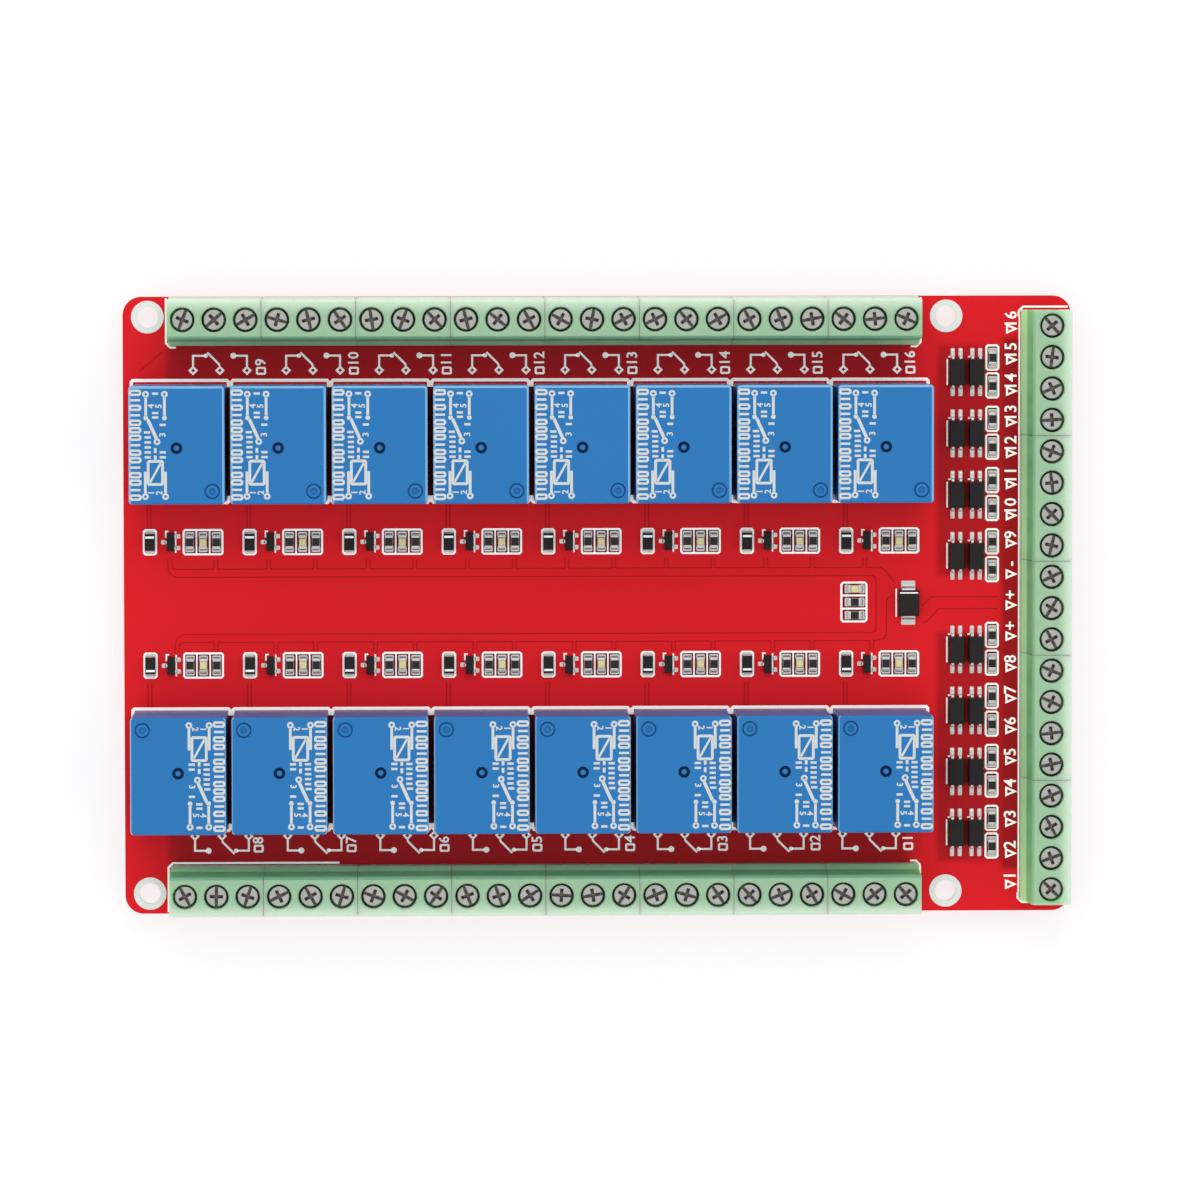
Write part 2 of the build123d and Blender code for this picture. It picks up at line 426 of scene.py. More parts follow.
def makeCoat(name, look):
    coat = bpy.data.materials.new(name)
    coat.use_nodes = True
    tree = coat.node_tree
    colour = tint(*look["colour"])
    shader = tree.nodes["Principled BSDF"]
    setAll(shader, {
        "Metallic": look.get("metal", 0), "Specular IOR Level": look.get("gloss", 0.4),
        "Coat Weight": look.get("lacquer", 0), "Coat Roughness": 0.12,
        "Subsurface Weight": look.get("glow", 0), "Subsurface Radius": (0.5, 1, 0.5),
        "Subsurface Scale": look.get("glowDepth", 1) * mm,
        # A coat's own colour as emission: painted light, a glow where the look gives one
        "Emission Color": colour, "Emission Strength": look.get("paintedGlow", 0),
    })
    drift, grain = tree.nodes.new("ShaderNodeGroup"), tree.nodes.new("ShaderNodeGroup")
    drift.node_tree = toneDrift
    setAll(drift, {"Colour": colour, "Amount": look.get("drift", 0.1), "Size": look.get("driftSize", 60)})
    grain.node_tree = brushedGrain if look.get("brushed") else mouldGrain
    setAll(grain, {"Size": look.get("grain", 4000), "Roughness": look.get("rough", 0.4),
                   "Swing": look.get("swing", 0.2)})
    bump = tree.nodes.new("ShaderNodeBump")
    setAll(bump, {"Strength": look.get("relief", 0.3), "Distance": look.get("depth", 0.02) * mm})
    feed(tree, shader.inputs["Base Color"], drift.outputs["Colour"])
    feed(tree, shader.inputs["Roughness"], grain.outputs["Roughness"])
    feed(tree, bump.inputs["Height"], grain.outputs["Height"])
    feed(tree, shader.inputs["Normal"], bump.outputs["Normal"])
    return coat


# Lays a colour over what the coat has so far, as far as the factor says
def layColour(coat, factor, colour):
    tree = coat.node_tree
    base = tree.nodes["Principled BSDF"].inputs["Base Color"]
    mix = tree.nodes.new("ShaderNodeMix")
    mix.data_type = "RGBA"
    below, above = (socket for socket in mix.inputs if socket.type == "RGBA")
    above.default_value = tint(*colour)
    feed(tree, mix.inputs["Factor"], factor)
    feed(tree, below, base.links[0].from_socket)
    feed(tree, base, next(socket for socket in mix.outputs if socket.type == "RGBA"))


def splitAxes(tree, kind, label):
    split = tree.nodes.new("ShaderNodeSeparateXYZ")
    feed(tree, split.inputs["Vector"], tree.nodes.new(kind).outputs[label])
    return split.outputs


# Faces that look up or down keep their colour, and the others take this one
def addSideColour(coat, colour):
    tree = coat.node_tree
    height = mathNode(tree, "ABSOLUTE", splitAxes(tree, "ShaderNodeNewGeometry", "Normal")["Z"])
    layColour(coat, mathNode(tree, "LESS_THAN", height, 0.6), colour)


finishLooks = {
    "solderMask": {"colour": (230, 26, 36), "rough": 0.34, "gloss": 0.1, "drift": 0.16, "driftSize": 24,
                   "grain": 2200, "relief": 0.12, "depth": 0.012},
    "maskGap": {"colour": (188, 16, 24), "rough": 0.4, "gloss": 0.1, "drift": 0.1},
    "trackMask": {"colour": (232, 40, 47), "rough": 0.32, "gloss": 0.12, "drift": 0.12, "driftSize": 40},
    # Darker red: painted shade in narrow gaps, and darker fields under the chips
    "maskField": {"colour": (120, 10, 14), "rough": 0.4, "gloss": 0.1, "drift": 0.1},
    # The print ink glows a little: painted light that keeps it white in shade
    "silkInk": {"colour": (252, 252, 248), "rough": 0.62, "gloss": 0.25, "drift": 0.14, "driftSize": 1500,
                "grain": 9000, "relief": 0.35, "paintedGlow": 0.2},
    "relayPlastic": {"colour": (42, 118, 183), "rough": 0.36, "gloss": 0.14, "drift": 0.06, "driftSize": 45,
                     "grain": 5200, "relief": 0.3},
    # Painted shade for the relays' gate recesses
    "relayShade": {"colour": (16, 52, 96), "rough": 0.5, "gloss": 0.1},
    # A painted highlight: paler blue laid on the cases' upper edges
    "relayEdgeHighlight": {"colour": (124, 180, 220), "rough": 0.3, "gloss": 0.3, "drift": 0.06},
    "relayInk": {"colour": (208, 213, 212), "rough": 0.6, "gloss": 0.15, "drift": 0.2, "driftSize": 2200},
    "relayFoot": {"colour": (36, 42, 60), "rough": 0.5, "gloss": 0.3},
    "terminalPlastic": {"colour": (160, 196, 161), "rough": 0.38, "gloss": 0.2, "drift": 0.08,
                        "driftSize": 110, "grain": 3600, "relief": 0.35, "glow": 0.5, "glowDepth": 2.5},
    # Painted shade: a darker, duller metal for the screws' slots
    "screwSlotShade": {"colour": (112, 110, 105), "metal": 0.7, "rough": 0.55, "drift": 0.3, "driftSize": 900},
    "screwNickel": {"colour": (182, 181, 177), "metal": 1, "rough": 0.3, "drift": 0.22, "driftSize": 420,
                    "grain": 1500, "brushed": True, "relief": 0.4},
    "clampZinc": {"colour": (170, 166, 156), "metal": 1, "rough": 0.42, "drift": 0.2, "driftSize": 500,
                  "grain": 1800, "brushed": True},
    "tinnedMetal": {"colour": (206, 206, 202), "metal": 1, "rough": 0.36, "drift": 0.18, "driftSize": 700,
                    "grain": 2600, "swing": 0.3, "relief": 0.4},
    "ringTin": {"colour": (236, 238, 234), "metal": 0.3, "rough": 0.5, "drift": 0.08, "driftSize": 700},
    "blackMoulding": {"colour": (40, 36, 35), "rough": 0.52, "gloss": 0.14, "drift": 0.12,
                      "driftSize": 300, "grain": 7000, "relief": 0.5},
    "ceramicChip": {"colour": (226, 224, 216), "rough": 0.5, "gloss": 0.35, "driftSize": 900},
    "resistorFilm": {"colour": (30, 29, 32), "rough": 0.3, "gloss": 0.3, "driftSize": 900},
    "ledResin": {"colour": (236, 226, 160), "rough": 0.2, "gloss": 0.5, "lacquer": 0.3, "drift": 0.2,
                 "driftSize": 900, "relief": 0.1},
    "paleFloor": {"colour": (160, 160, 160), "rough": 0.85, "gloss": 0.1, "drift": 0.01, "driftSize": 4,
                  "grain": 300, "relief": 0.02},
}
coats = {name: makeCoat(name, look) for name, look in finishLooks.items()}


# Painted shade: the lacquer is a deeper red in the channels between the terminal rows and the relays, around
# the optocouplers and beside the input labels; each zone is (x, x, |y|, |y|, share), with soft edges
paintedShadeLook = {
    "colour": (112, 8, 14), "soft": 1.2,
    "zones": ((-62, 58.6, 36.8, 42.4, 0.38), (63.6, 74.2, 4.6, 42.2, 0.42), (74.2, 78, -5, 43.4, 0.62)),
}


def rampNode(tree, value, start, end, share=1):
    ramp = tree.nodes.new("ShaderNodeMapRange")
    ramp.interpolation_type = "SMOOTHSTEP"
    setAll(ramp, {"From Min": start, "From Max": end, "To Min": 0, "To Max": share})
    feed(tree, ramp.inputs["Value"], value)
    return ramp.outputs["Result"]


def addDeepZones(coat, look):
    tree = coat.node_tree
    place = splitAxes(tree, "ShaderNodeTexCoord", "Object")
    facing = splitAxes(tree, "ShaderNodeNewGeometry", "Normal")
    upper = mathNode(tree, "GREATER_THAN", facing["Z"], 0.5)
    away = mathNode(tree, "ABSOLUTE", place["Y"])
    soft = look["soft"] / 2 * mm
    for low, high, near, far, share in look["zones"]:
        inside = mathNode(tree, "MULTIPLY", upper, share)
        for value, edges in ((place["X"], (low, high)), (away, (near, far))):
            for edge, way in zip(edges, (1, -1)):
                step = rampNode(tree, value, edge * mm - way * soft, edge * mm + way * soft)
                inside = mathNode(tree, "MULTIPLY", step, inside)
        layColour(coat, inside, look["colour"])


laminateEdge = (150, 74, 52)
# Painted shade on the board's lacquer
addDeepZones(coats["solderMask"], paintedShadeLook)
addSideColour(coats["solderMask"], laminateEdge)

# Painted light on the plastic: it is paler towards its wire side, greener on its rear wall and pale again on
# the rear foot, standing in for the light that falls there; "across" is a point's place from the back to the
# front. Each band is (colour, from, to, share)
paintedLightBands = (
    ((226, 240, 225), 0.4, 3.5, 0.75),
    ((118, 208, 132), -2.9, -3.2, 1),
    ((190, 252, 180), -3.45, -3.7, 1),
)
for colour, start, end, share in paintedLightBands:
    plastic = coats["terminalPlastic"].node_tree
    across = plastic.nodes.new("ShaderNodeAttribute")
    across.attribute_name = "across"
    ramp = rampNode(plastic, across.outputs["Fac"], start, end, share)
    layColour(coats["terminalPlastic"], ramp, colour)
print("finishes ready:", len(coats))


# Places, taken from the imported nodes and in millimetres
def middleOf(node):
    low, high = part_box(node)
    return (low + high) / 2 / mm


relaySpots = []
for number in range(1, 17):
    spot = middleOf(f"relay_{number:02d}")
    relaySpots.append((spot.x, spot.y, 0 if spot.y > 0 else 180))
relayColumns = [spot[0] for spot in relaySpots[:8]]

polePitch = 5.08
relayRow = 26.61         # from the board's middle to the middle of a relay row
chipWidth, chipLength = 1.25, 2.0
housingLook = {
    "front": 3.6, "face": 3.3, "gap": 0.05, "top": 10.0,
    "outline": [(-4.3, 0), (3.6, 0), (3.6, 1.4), (3.3, 1.4), (3.3, 9.6), (2.9, 10), (-2.7, 10),
                (-3.15, 9.2), (-3.55, 4.3), (-4.3, 2.3)],
    "edgeRound": 0.12, "endRound": 0.03,
    "wellRadius": 2.0, "wellFloor": 6.6, "wellFlare": 0.22, "throatRadius": 1.3, "throatDepth": 1.2,
    "entryWidth": 3.08, "entryFloor": 2.4, "entryHeight": 3.4, "entryDepth": 4.3, "entryRound": 0.35,
    "funnel": 0.32, "funnelDepth": 0.45, "seamWidth": 0.24, "seamMiddle": 6.6, "seamHeight": 9,
}

# Each row's blocks as (node, poles, (x, y, turn)), with x and y in the middle of the line of screws
blocks = {"top": [], "bottom": [], "input": []}
for row, count, turn in (("top", 8, 0), ("bottom", 8, 180), ("input", 5, -90)):
    for number in range(1, count + 1):
        node = f"{row}_terminal_{number}"
        low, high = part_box(node)
        front = housingLook["front"]
        if row == "input":
            poles = round((high.y - low.y) / mm / polePitch)
            x, y = high.x / mm - front, (low.y + high.y) / 2 / mm
        else:
            poles = round((high.x - low.x) / mm / polePitch)
            x = (low.x + high.x) / 2 / mm
            y = high.y / mm - front if row == "top" else low.y / mm + front
        blocks[row].append((node, poles, (x, y, turn)))


# Where a block's poles stand, from its middle
def poleOffsets(poles):
    return [(i - (poles - 1) / 2) * polePitch for i in range(poles)]


def polesOf(row):
    spots = []
    for node, poles, (x, y, turn) in blocks[row]:
        for along in poleOffsets(poles):
            spots.append((x, y + along, turn) if row == "input" else (x + along, y, turn))
    return spots


# The parts of a driver stage by their offsets along X; its base resistors give the stages' places
stageLook = {"flyback": -4.98, "transistor": -1.6, "base": 1.5, "led": 3.65, "series": 5.8}
stageLow, stageHigh = (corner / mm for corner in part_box("base_resistors"))
stageStart = stageLow.x + chipWidth / 2 - stageLook["base"]
stagePitch = (stageHigh.x - stageLow.x - chipWidth) / 7
driverSpots = [(stageStart + i * stagePitch, y)
               for y in (stageHigh.y - chipLength / 2, stageLow.y + chipLength / 2) for i in range(8)]
pairRows = [7.85, 17.85, 27.85, 37.85, -7.45, -17.45, -27.45, -37.45]
optoColumns = (66.72, 69.92)
optoSpots = [(x, y, 0) for y in pairRows for x in optoColumns]
inputChipX, inputChipShift = 72.595, 2.3
inputChipSpots = [(inputChipX, y + side * inputChipShift, 0) for y in pairRows for side in (-1, 1)]
powerLedSpot = middleOf("power_led")
powerChipX, powerChipPitch = powerLedSpot.x, 2.15
powerLedSpots = [(powerChipX, powerLedSpot.y, 90)]
powerDiodeSpot = (58.85, 0.2, 0)
holeX, holeY = 65, 47
holeSpots = [(x, y, 0) for x in (-holeX, holeX) for y in (-holeY, holeY)]

# Circuit board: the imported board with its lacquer, and tinned mounting rings
for node, coatName in (("circuit_board", "solderMask"), ("relay_bases", "relayFoot")):
    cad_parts[node].material_slots[0].material = coats[coatName]

holeLook = {"flange": 2.65, "wallOuter": 1.73, "wallInner": 1.7, "proud": 0.05, "steps": 48}


def modelHoleRing():
    low, high, proud = boardBottom, 0, holeLook["proud"]
    inner, outer, flange = holeLook["wallInner"], holeLook["wallOuter"], holeLook["flange"]
    section = [(inner, low - proud), (flange, low - proud), (flange, low), (outer, low),
               (outer, high), (flange, high), (flange, high + proud), (inner, high + proud)]
    ring = addLoop([(radius, 0, z) for radius, z in section], "NOTHING")
    openEdit(ring)
    bpy.ops.mesh.spin(steps=holeLook["steps"], angle=math.tau, center=(0, 0, 0), axis=(0, 0, 1))
    closeEdit()
    return smoothBelow(tidySkin(ring))


placePiece(paint(modelHoleRing(), coats["ringTin"]), holeSpots, "mountingRings", "tinned_leads")
print("board and mounting rings done")

# Relays: sealed cases with a vent nib and a gate mark
relayLook = {
    "width": 15.4, "length": 19.0, "bottom": 0.6, "top": 15.5,
    "cornerRound": 0.55, "topRound": 0.38, "footRound": 0.12,
    "gateY": -0.45, "gateRadius": 0.95, "gateDepth": 0.5,
    "pipRadius": 0.46, "pipHeight": 0.48, "pipRound": 0.08,
    "nibX": 5.7, "nibY": -7.4, "nibRadius": 1.0, "nibHeight": 0.25, "nibRound": 0.1,
    "dimpleRadius": 0.55, "dimpleDepth": 0.3, "moatWidth": 0.24, "moatDepth": 0.4,
}


def modelRelay():
    look = relayLook
    top, rise = look["top"], look["top"] - look["bottom"]
    gateFloor, moatFloor, nibTop = top - look["gateDepth"], top - look["moatDepth"], top + look["nibHeight"]
    nibX, nibY = look["nibX"], look["nibY"]
    case = addBlock((look["width"], look["length"], rise), (0, 0, look["bottom"] + rise / 2))
    softenEdges(case, upright, look["cornerRound"], 4)
    softenEdges(case, edgeAtHeight(top), look["topRound"], 3)
    softenEdges(case, edgeAtHeight(look["bottom"]), look["footRound"], 1)
    cutWith(case, addRound(look["gateRadius"], 1, (0, look["gateY"], gateFloor), 24))
    pip = addRound(look["pipRadius"], look["pipHeight"], (0, look["gateY"], gateFloor), 16)
    softenEdges(pip, edgeAtHeight(gateFloor + look["pipHeight"]), look["pipRound"], 2)
    nib = addRound(look["nibRadius"], look["nibHeight"] + look["moatDepth"], (nibX, nibY, moatFloor), 28)
    cutWith(case, addRound(look["nibRadius"] + look["moatWidth"], 1, (nibX, nibY, moatFloor), 28))
    softenEdges(nib, edgeAtHeight(nibTop), look["nibRound"], 2)
    cutWith(nib, addRound(look["dimpleRadius"], 1, (nibX, nibY, nibTop - look["dimpleDepth"]), 16))
    return smoothBelow(joinAll([case, pip, nib]))


# A painted highlight on the upper edge of a case: both sides, and in the row at +Y the outer end
def onCaseEdge(face):
    x, y, z = (value / mm for value in face.center)
    look = relayLook
    edge = look["topRound"]
    outside = abs(x) > look["width"] / 2 - edge or y > look["length"] / 2 - edge
    return z > look["top"] - edge and face.normal.z < 0.97 and outside


# Painted shade: the gate's recess takes a darker blue; its pip stands nearly as high as the case
def inGate(face):
    x, y, z = (value / mm for value in face.center)
    look = relayLook
    return math.hypot(x, y - look["gateY"]) < look["gateRadius"] + 0.01 and z < look["top"] - 0.04


relayMaster = paint(modelRelay(), coats["relayPlastic"], coats["relayEdgeHighlight"], coats["relayShade"])
for face in relayMaster.data.polygons:
    face.material_index = 1 if onCaseEdge(face) else 2 if inGate(face) else 0
for number, spot in enumerate(relaySpots, start=1):
    case = copyTo(relayMaster, *spot)
    # In the row at -Y the painted highlight keeps to the sides, off the ends
    if spot[2]:
        for face in case.data.polygons:
            if face.material_index == 1 and abs(face.normal.x) < 0.3:
                face.material_index = 0
    finishPiece(case, f"relayCase{number:02d}", "relay_blue", f"relay_{number:02d}")
bpy.data.objects.remove(relayMaster)

# A plain contact diagram with its five pin numbers is printed on each case, beside a band of boxes and
# bars. Its x places are from the diagram's middle line
diagramLook = {
    "line": 0.44, "thin": 0.38, "ink": 0.025, "middle": -3.4,
    "coil": (-4.4, 2.3, 3.7, 0.15),            # middle in Y, width, length, corner
    "lines": (                                 # share of the line's width, start, end
        (0.8, (-0.9, -6.0), (0.9, -2.8)), (1, (-1.62, -4.2), (-1.62, -7.65)),
        (1, (1.62, -4.2), (1.62, -7.65)), (1, (0, -2.4), (0, -1.6)), (1, (0, -1.2), (0, -0.4)),
        (1.2, (0.2, 1.1), (-1.2, 4.2)), (1, (-1.5, 4.7), (-1.5, 7.75)), (1, (1.5, 4.7), (1.5, 7.75))),
    "dots": ((-1.5, 4.4), (1.5, 4.4)), "dotRadius": 0.38,
    "bars": ((-1.2, -1.9), (-1.2, -1.1), (-1.2, -0.3), (-1.2, 0.5), (-1.2, 1.3), (-1.3, 2.1),
             (1.2, -1.9), (1.2, -1.1), (0, 8.3), (0, 4.5), (0, 5.2), (1.2, 3.3)), "barHalf": 0.5,
    "rings": ((-1.62, -8.2), (1.62, -8.2), (0.3, 0.6), (-1.5, 8.2), (1.5, 8.2)), "ringRadii": (0.54, 0.22),
    "numbers": (("1", -0.65, -7.6), ("2", 0.65, -7.6), ("3", 1.2, 1.7), ("4", -0.6, 6.3), ("5", 0.6, 6.3)),
    "numberSize": 1.4, "bandX": -6.6, "bandWidth": 1.6, "bandStart": -8.35, "bandStep": 1.2,
    "band": (1, 0, 1, 1, 0, 1, 1, 0, 1, 1, 1, 0, 1, 0, 1), "boxLength": 0.66, "boxCorner": 0.18,
}


def modelDiagram():
    look = diagramLook
    base, ink, line, thin, x = relayLook["top"], look["ink"], look["line"], look["thin"], look["middle"]
    coil = boxLine(x, *look["coil"])
    marks = [addStrip(coil, line, base, ink, True)]
    for share, *ends in look["lines"]:
        marks.append(addStrip([(x + dx, y) for dx, y in ends], line * share, base, ink))
    for dx, y in look["dots"]:
        marks.append(addRound(look["dotRadius"], ink, (x + dx, y, base), 12))
    for dx, y in look["bars"]:
        ends = [(x + dx - look["barHalf"], y), (x + dx + look["barHalf"], y)]
        marks.append(addStrip(ends, thin, base, ink))
    for dx, y in look["rings"]:
        marks.append(addRing(x + dx, y, *look["ringRadii"], base, ink, 12))
    bandX, half = look["bandX"], look["bandWidth"] / 2
    for i, hollow in enumerate(look["band"]):
        y = look["bandStart"] + i * look["bandStep"]
        points = [(bandX - half, y), (bandX + half, y)]
        if hollow:
            points = boxLine(bandX, y, 2 * half, look["boxLength"], look["boxCorner"])
        marks.append(addStrip(points, thin, base, ink, bool(hollow)))
    for body, dx, y in look["numbers"]:
        marks.append(addNumber(body, x + dx, y, look["numberSize"], 90, base, ink))
    return joinAll(marks)


placePiece(paint(modelDiagram(), coats["relayInk"]), relaySpots, "relayPrint", "relay_blue")
print("relays done:", len(relaySpots))


# Screw terminal blocks
def modelHousing(poles):
    look = housingLook
    length = poles * polePitch - look["gap"]
    housing = addProfile(look["outline"], length)

    def aboveFoot(edge):
        return min(v.co.z for v in edge.verts) > mm

    def acrossEnd(edge):
        return abs(edge.verts[0].co.x - edge.verts[1].co.x) < mm / 100

    softenEdges(housing, lambda e: e.calc_length() > mm * length - mm and aboveFoot(e), look["edgeRound"])
    softenEdges(housing, lambda e: acrossEnd(e) and aboveFoot(e), look["endRound"], 1)
    face, top, floor, flare, well = (look[n] for n in ("face", "top", "wellFloor", "wellFlare", "wellRadius"))
    width, height, depth = look["entryWidth"], look["entryHeight"], look["entryDepth"]
    entryMiddle = look["entryFloor"] + height / 2
    grow = 2 * look["funnel"]
    for i, x in enumerate(poleOffsets(poles)):
        cutWith(housing, addRound(well, top - floor + 1, (x, 0, floor), 36))
        cutWith(housing, addRound(well, flare, (x, 0, top - flare + 0.001), 36, well + flare))
        cutWith(housing, addRound(look["throatRadius"], 2, (x, 0, floor - look["throatDepth"]), 20))
        entry = addBlock((width, depth + 1, height), (x, face + 0.5 - depth / 2, entryMiddle))
        softenEdges(entry, runsAlongY, look["entryRound"], 3)
        cutWith(housing, entry)
        funnel = addBlock((width, look["funnelDepth"], height),
                          (x, face - look["funnelDepth"] / 2 + 0.01, entryMiddle))
        resizeFaces(funnel, lambda f: f.normal.y > 0.9, (1 + grow / width, 1, 1 + grow / height))
        cutWith(housing, funnel)
        if i:
            between = x - polePitch / 2
            seam = addBlock((look["seamWidth"], look["seamWidth"], look["seamHeight"]), (between, 0, 0))
            seam.data.transform(shiftBy(0, face, look["seamMiddle"])
                                @ shiftBy(between) @ spin(45) @ shiftBy(-between))
            cutWith(housing, seam)
    across = housing.data.attributes.new("across", "FLOAT", "POINT")
    across.data.foreach_set("value", [v.co.y / mm for v in housing.data.vertices])
    return smoothBelow(housing)


housings = {poles: paint(modelHousing(poles), coats["terminalPlastic"]) for poles in (3, 4)}
for row in blocks:
    for number, (node, poles, spot) in enumerate(blocks[row], start=1):
        block = copyTo(housings[poles], *spot)
        finishPiece(block, f"{row}Housing{number}", "terminal_green", node)
for master in housings.values():
    bpy.data.objects.remove(master)
print("terminal housings done:", sum(len(row) for row in blocks.values()))

screwLook = {
    "radius": 1.72, "low": 6.6, "high": 9.2, "round": 0.22, "slotWidth": 0.5, "slotDepth": 0.6,
    "crossLength": 2.2, "crossWidth": 0.55, "crossDepth": 0.8, "crossPoint": 0.6,
    "shankRadius": 1.2, "shankLow": 4.1, "shankRound": 0.3,
}


def modelScrew():
    look = screwLook
    low, high = look["low"], look["high"]
    head = addRound(look["radius"], high - low, (0, 0, low), 28)
    softenEdges(head, edgeAtHeight(high), look["round"], 3)
    cutWith(head, addBlock((4, look["slotWidth"], look["slotDepth"] * 2), (0, 0, high)))
    longer, shorter, depth = look["crossLength"], look["crossWidth"], look["crossDepth"]
    for length, width in ((shorter, longer), (longer, shorter)):
        cross = addBlock((length, width, depth), (0, 0, high - depth / 2 + 0.01))
        resizeFaces(cross, faceDown, (look["crossPoint"], look["crossPoint"], 1))
        cutWith(head, cross)
    paint(head, coats["screwNickel"], coats["screwSlotShade"])
    # Painted shade: the faces inside the slot and cross take the darker coat
    for face in head.data.polygons:
        inside = Vector(face.center).xy.length < (look["radius"] - 0.05) * mm
        if inside and (low + 0.1) * mm < face.center.z < (high - 0.06) * mm:
            face.material_index = 1
    shank = addRound(look["shankRadius"], low - look["shankLow"] + 0.1, (0, 0, look["shankLow"]), 16)
    softenEdges(shank, edgeAtHeight(look["shankLow"]), look["shankRound"], 1)
    paint(shank, coats["screwNickel"])
    return smoothBelow(joinAll([head, shank]))


clampLook = {
    "width": 2.88, "length": 3.5, "middleY": 0.85, "low": 2.4, "plate": 0.8, "wall": 0.36, "high": 5.7,
    "round": 0.25, "groove": (1.6, 0.25, 0.3), "grooveStart": 1.1, "grooveStep": 0.6,
}


def modelClamp():
    look = clampLook
    low, high, middle, floor = look["low"], look["high"], look["middleY"], look["low"] + look["plate"]
    cage = addBlock((look["width"], look["length"], high - low), (0, middle, (high + low) / 2))
    softenEdges(cage, runsAlongY, look["round"], 2)
    cutWith(cage, addBlock((look["width"] - 2 * look["wall"], look["length"] + 1, 4), (0, middle, floor + 2)))
    for i in range(3):
        y = middle + look["grooveStart"] - look["grooveStep"] * i
        cutWith(cage, addBlock(look["groove"], (0, y, floor)))
    return smoothBelow(cage)


# A pin's tail stands in a cone of solder on the underside, drawn down in steps of (drop, shrink)
tailLook = {
    "terminal": {"width": 1.1, "depth": 0.8, "length": 2.2, "foot": 1.25},
    "relay": {"width": 1.0, "depth": 0.6, "length": 1.8, "foot": 1.1},
    "solder": ((0.1, 0.97), (0.3, 0.72), (0.45, 0.8), (0.35, 0.86)), "point": 0.62,
}


def modelTail(look, x=0, y=0):
    tail = addBlock((look["width"], look["depth"], look["length"]), (x, y, boardBottom - look["length"] / 2))
    resizeFaces(tail, faceDown, (tailLook["point"], tailLook["point"], 1))
    pickNone()
    bpy.ops.mesh.primitive_circle_add(vertices=14, radius=look["foot"] * mm, fill_type="NGON",
                                      location=metres((x, y, boardBottom + 0.01)))
    cone = settle()
    openEdit(cone)
    for drop, shrink in tailLook["solder"]:
        pushOut(0, 0, -drop)
        bpy.ops.transform.resize(value=(shrink, shrink, 1))
    closeOutwards()
    return smoothBelow(joinAll([tail, cone]), 50)


screwMaster = modelScrew()
tailMaster = paint(modelTail(tailLook["terminal"]), coats["tinnedMetal"])
for row in blocks:
    poles = polesOf(row)
    turned = [copyTo(screwMaster, x, y, dice.uniform(0, 180)) for x, y, turn in poles]
    finishPiece(joinAll(turned), f"{row}Screws", "screw_steel", f"{row}_terminal_screws")
    tails = [copyTo(tailMaster, *spot) for spot in poles]
    finishPiece(joinAll(tails), f"{row}TerminalJoints", "tinned_leads", f"{row}_terminal_pins")
bpy.data.objects.remove(screwMaster)
bpy.data.objects.remove(tailMaster)
allPoles = [spot for row in blocks for spot in polesOf(row)]
placePiece(paint(modelClamp(), coats["clampZinc"]), allPoles, "wireCages", "clamp_steel", "terminal_clamps")

relayPinSpots = [(-6, 7.1), (6, 7.1), (-6, -5.1), (6, -5.1), (0, -7.1)]
relayTails = joinAll([modelTail(tailLook["relay"], x, y) for x, y in relayPinSpots])
paint(relayTails, coats["tinnedMetal"])
for label, spots in (("top", relaySpots[:8]), ("bottom", relaySpots[8:])):
    joints = joinAll([copyTo(relayTails, *spot) for spot in spots])
    finishPiece(joints, f"{label}RelayJoints", "tinned_leads", f"{label}_relay_pins")
bpy.data.objects.remove(relayTails)
print("screws, cages and soldered pins done")


# Small parts on the board: a moulded body has a parting line and drafted halves
def modelBody(width, length, low, high, parting, draw=0.88, rounding=0.07):
    body = addBlock((width, length, high - low), (0, 0, (high + low) / 2))
    openEdit(body)
    bpy.ops.mesh.bisect(plane_co=(0, 0, parting * mm), plane_no=(0, 0, 1))
    closeEdit()
    shrink = 1 - (1 - draw) * 0.8
    resizeFaces(body, faceUp, (draw, 1 - (1 - draw) * width / length, 1))
    resizeFaces(body, faceDown, (shrink, 1 - (1 - shrink) * width / length, 1))
    onParting = edgeAtHeight(parting)
    softenEdges(body, lambda e: not onParting(e), rounding, 2)
    return body


# A flat lead bent along (y, z) points, as wide as the real one
def modelLead(points, thickness, width):
    return standUp(addStrip(points, thickness, 0, width), width)


# A part's leads as (turn, shift)
def modelLeads(look, places):
    leads = []
    for turn, shift in places:
        lead = modelLead(look["bend"], look["leadThickness"], look["leadWidth"])
        lead.data.transform(spin(turn) @ shiftBy(shift))
        leads.append(lead)
    return smoothBelow(joinAll(leads), 50)


# A solder pad, and the fillet that climbs from it to its lead or end cap
def modelPad(width, length, x, y):
    pad = addBlock((width, length, 0.05), (x, y, 0.025))
    softenEdges(pad, upright, 0.15, 2)
    return pad


def modelFillet(width, length, height, x, y, lean):
    fillet = addBlock((width, length, height), (x, y, 0.03 + height / 2))
    resizeFaces(fillet, faceUp, (0.8, 0.3, 1), (0, lean * length * 0.35, 0))
    softenEdges(fillet, upright, 0.08, 1)
    return fillet


optoLook = {
    "width": 2.6, "length": 4.4, "low": 0.1, "high": 2.0, "parting": 1.05, "pitch": 1.27,
    "leadWidth": 0.4, "leadThickness": 0.2, "dotRadius": 0.28, "dotPlace": (-0.72, 1.5), "dotDepth": 0.07,
    "bend": [(2.12, 1.0), (2.36, 1.0), (2.47, 0.95), (2.53, 0.84), (2.61, 0.28), (2.68, 0.15),
             (2.82, 0.1), (3.5, 0.1)],
}
optoSides = (-optoLook["pitch"] / 2, optoLook["pitch"] / 2)


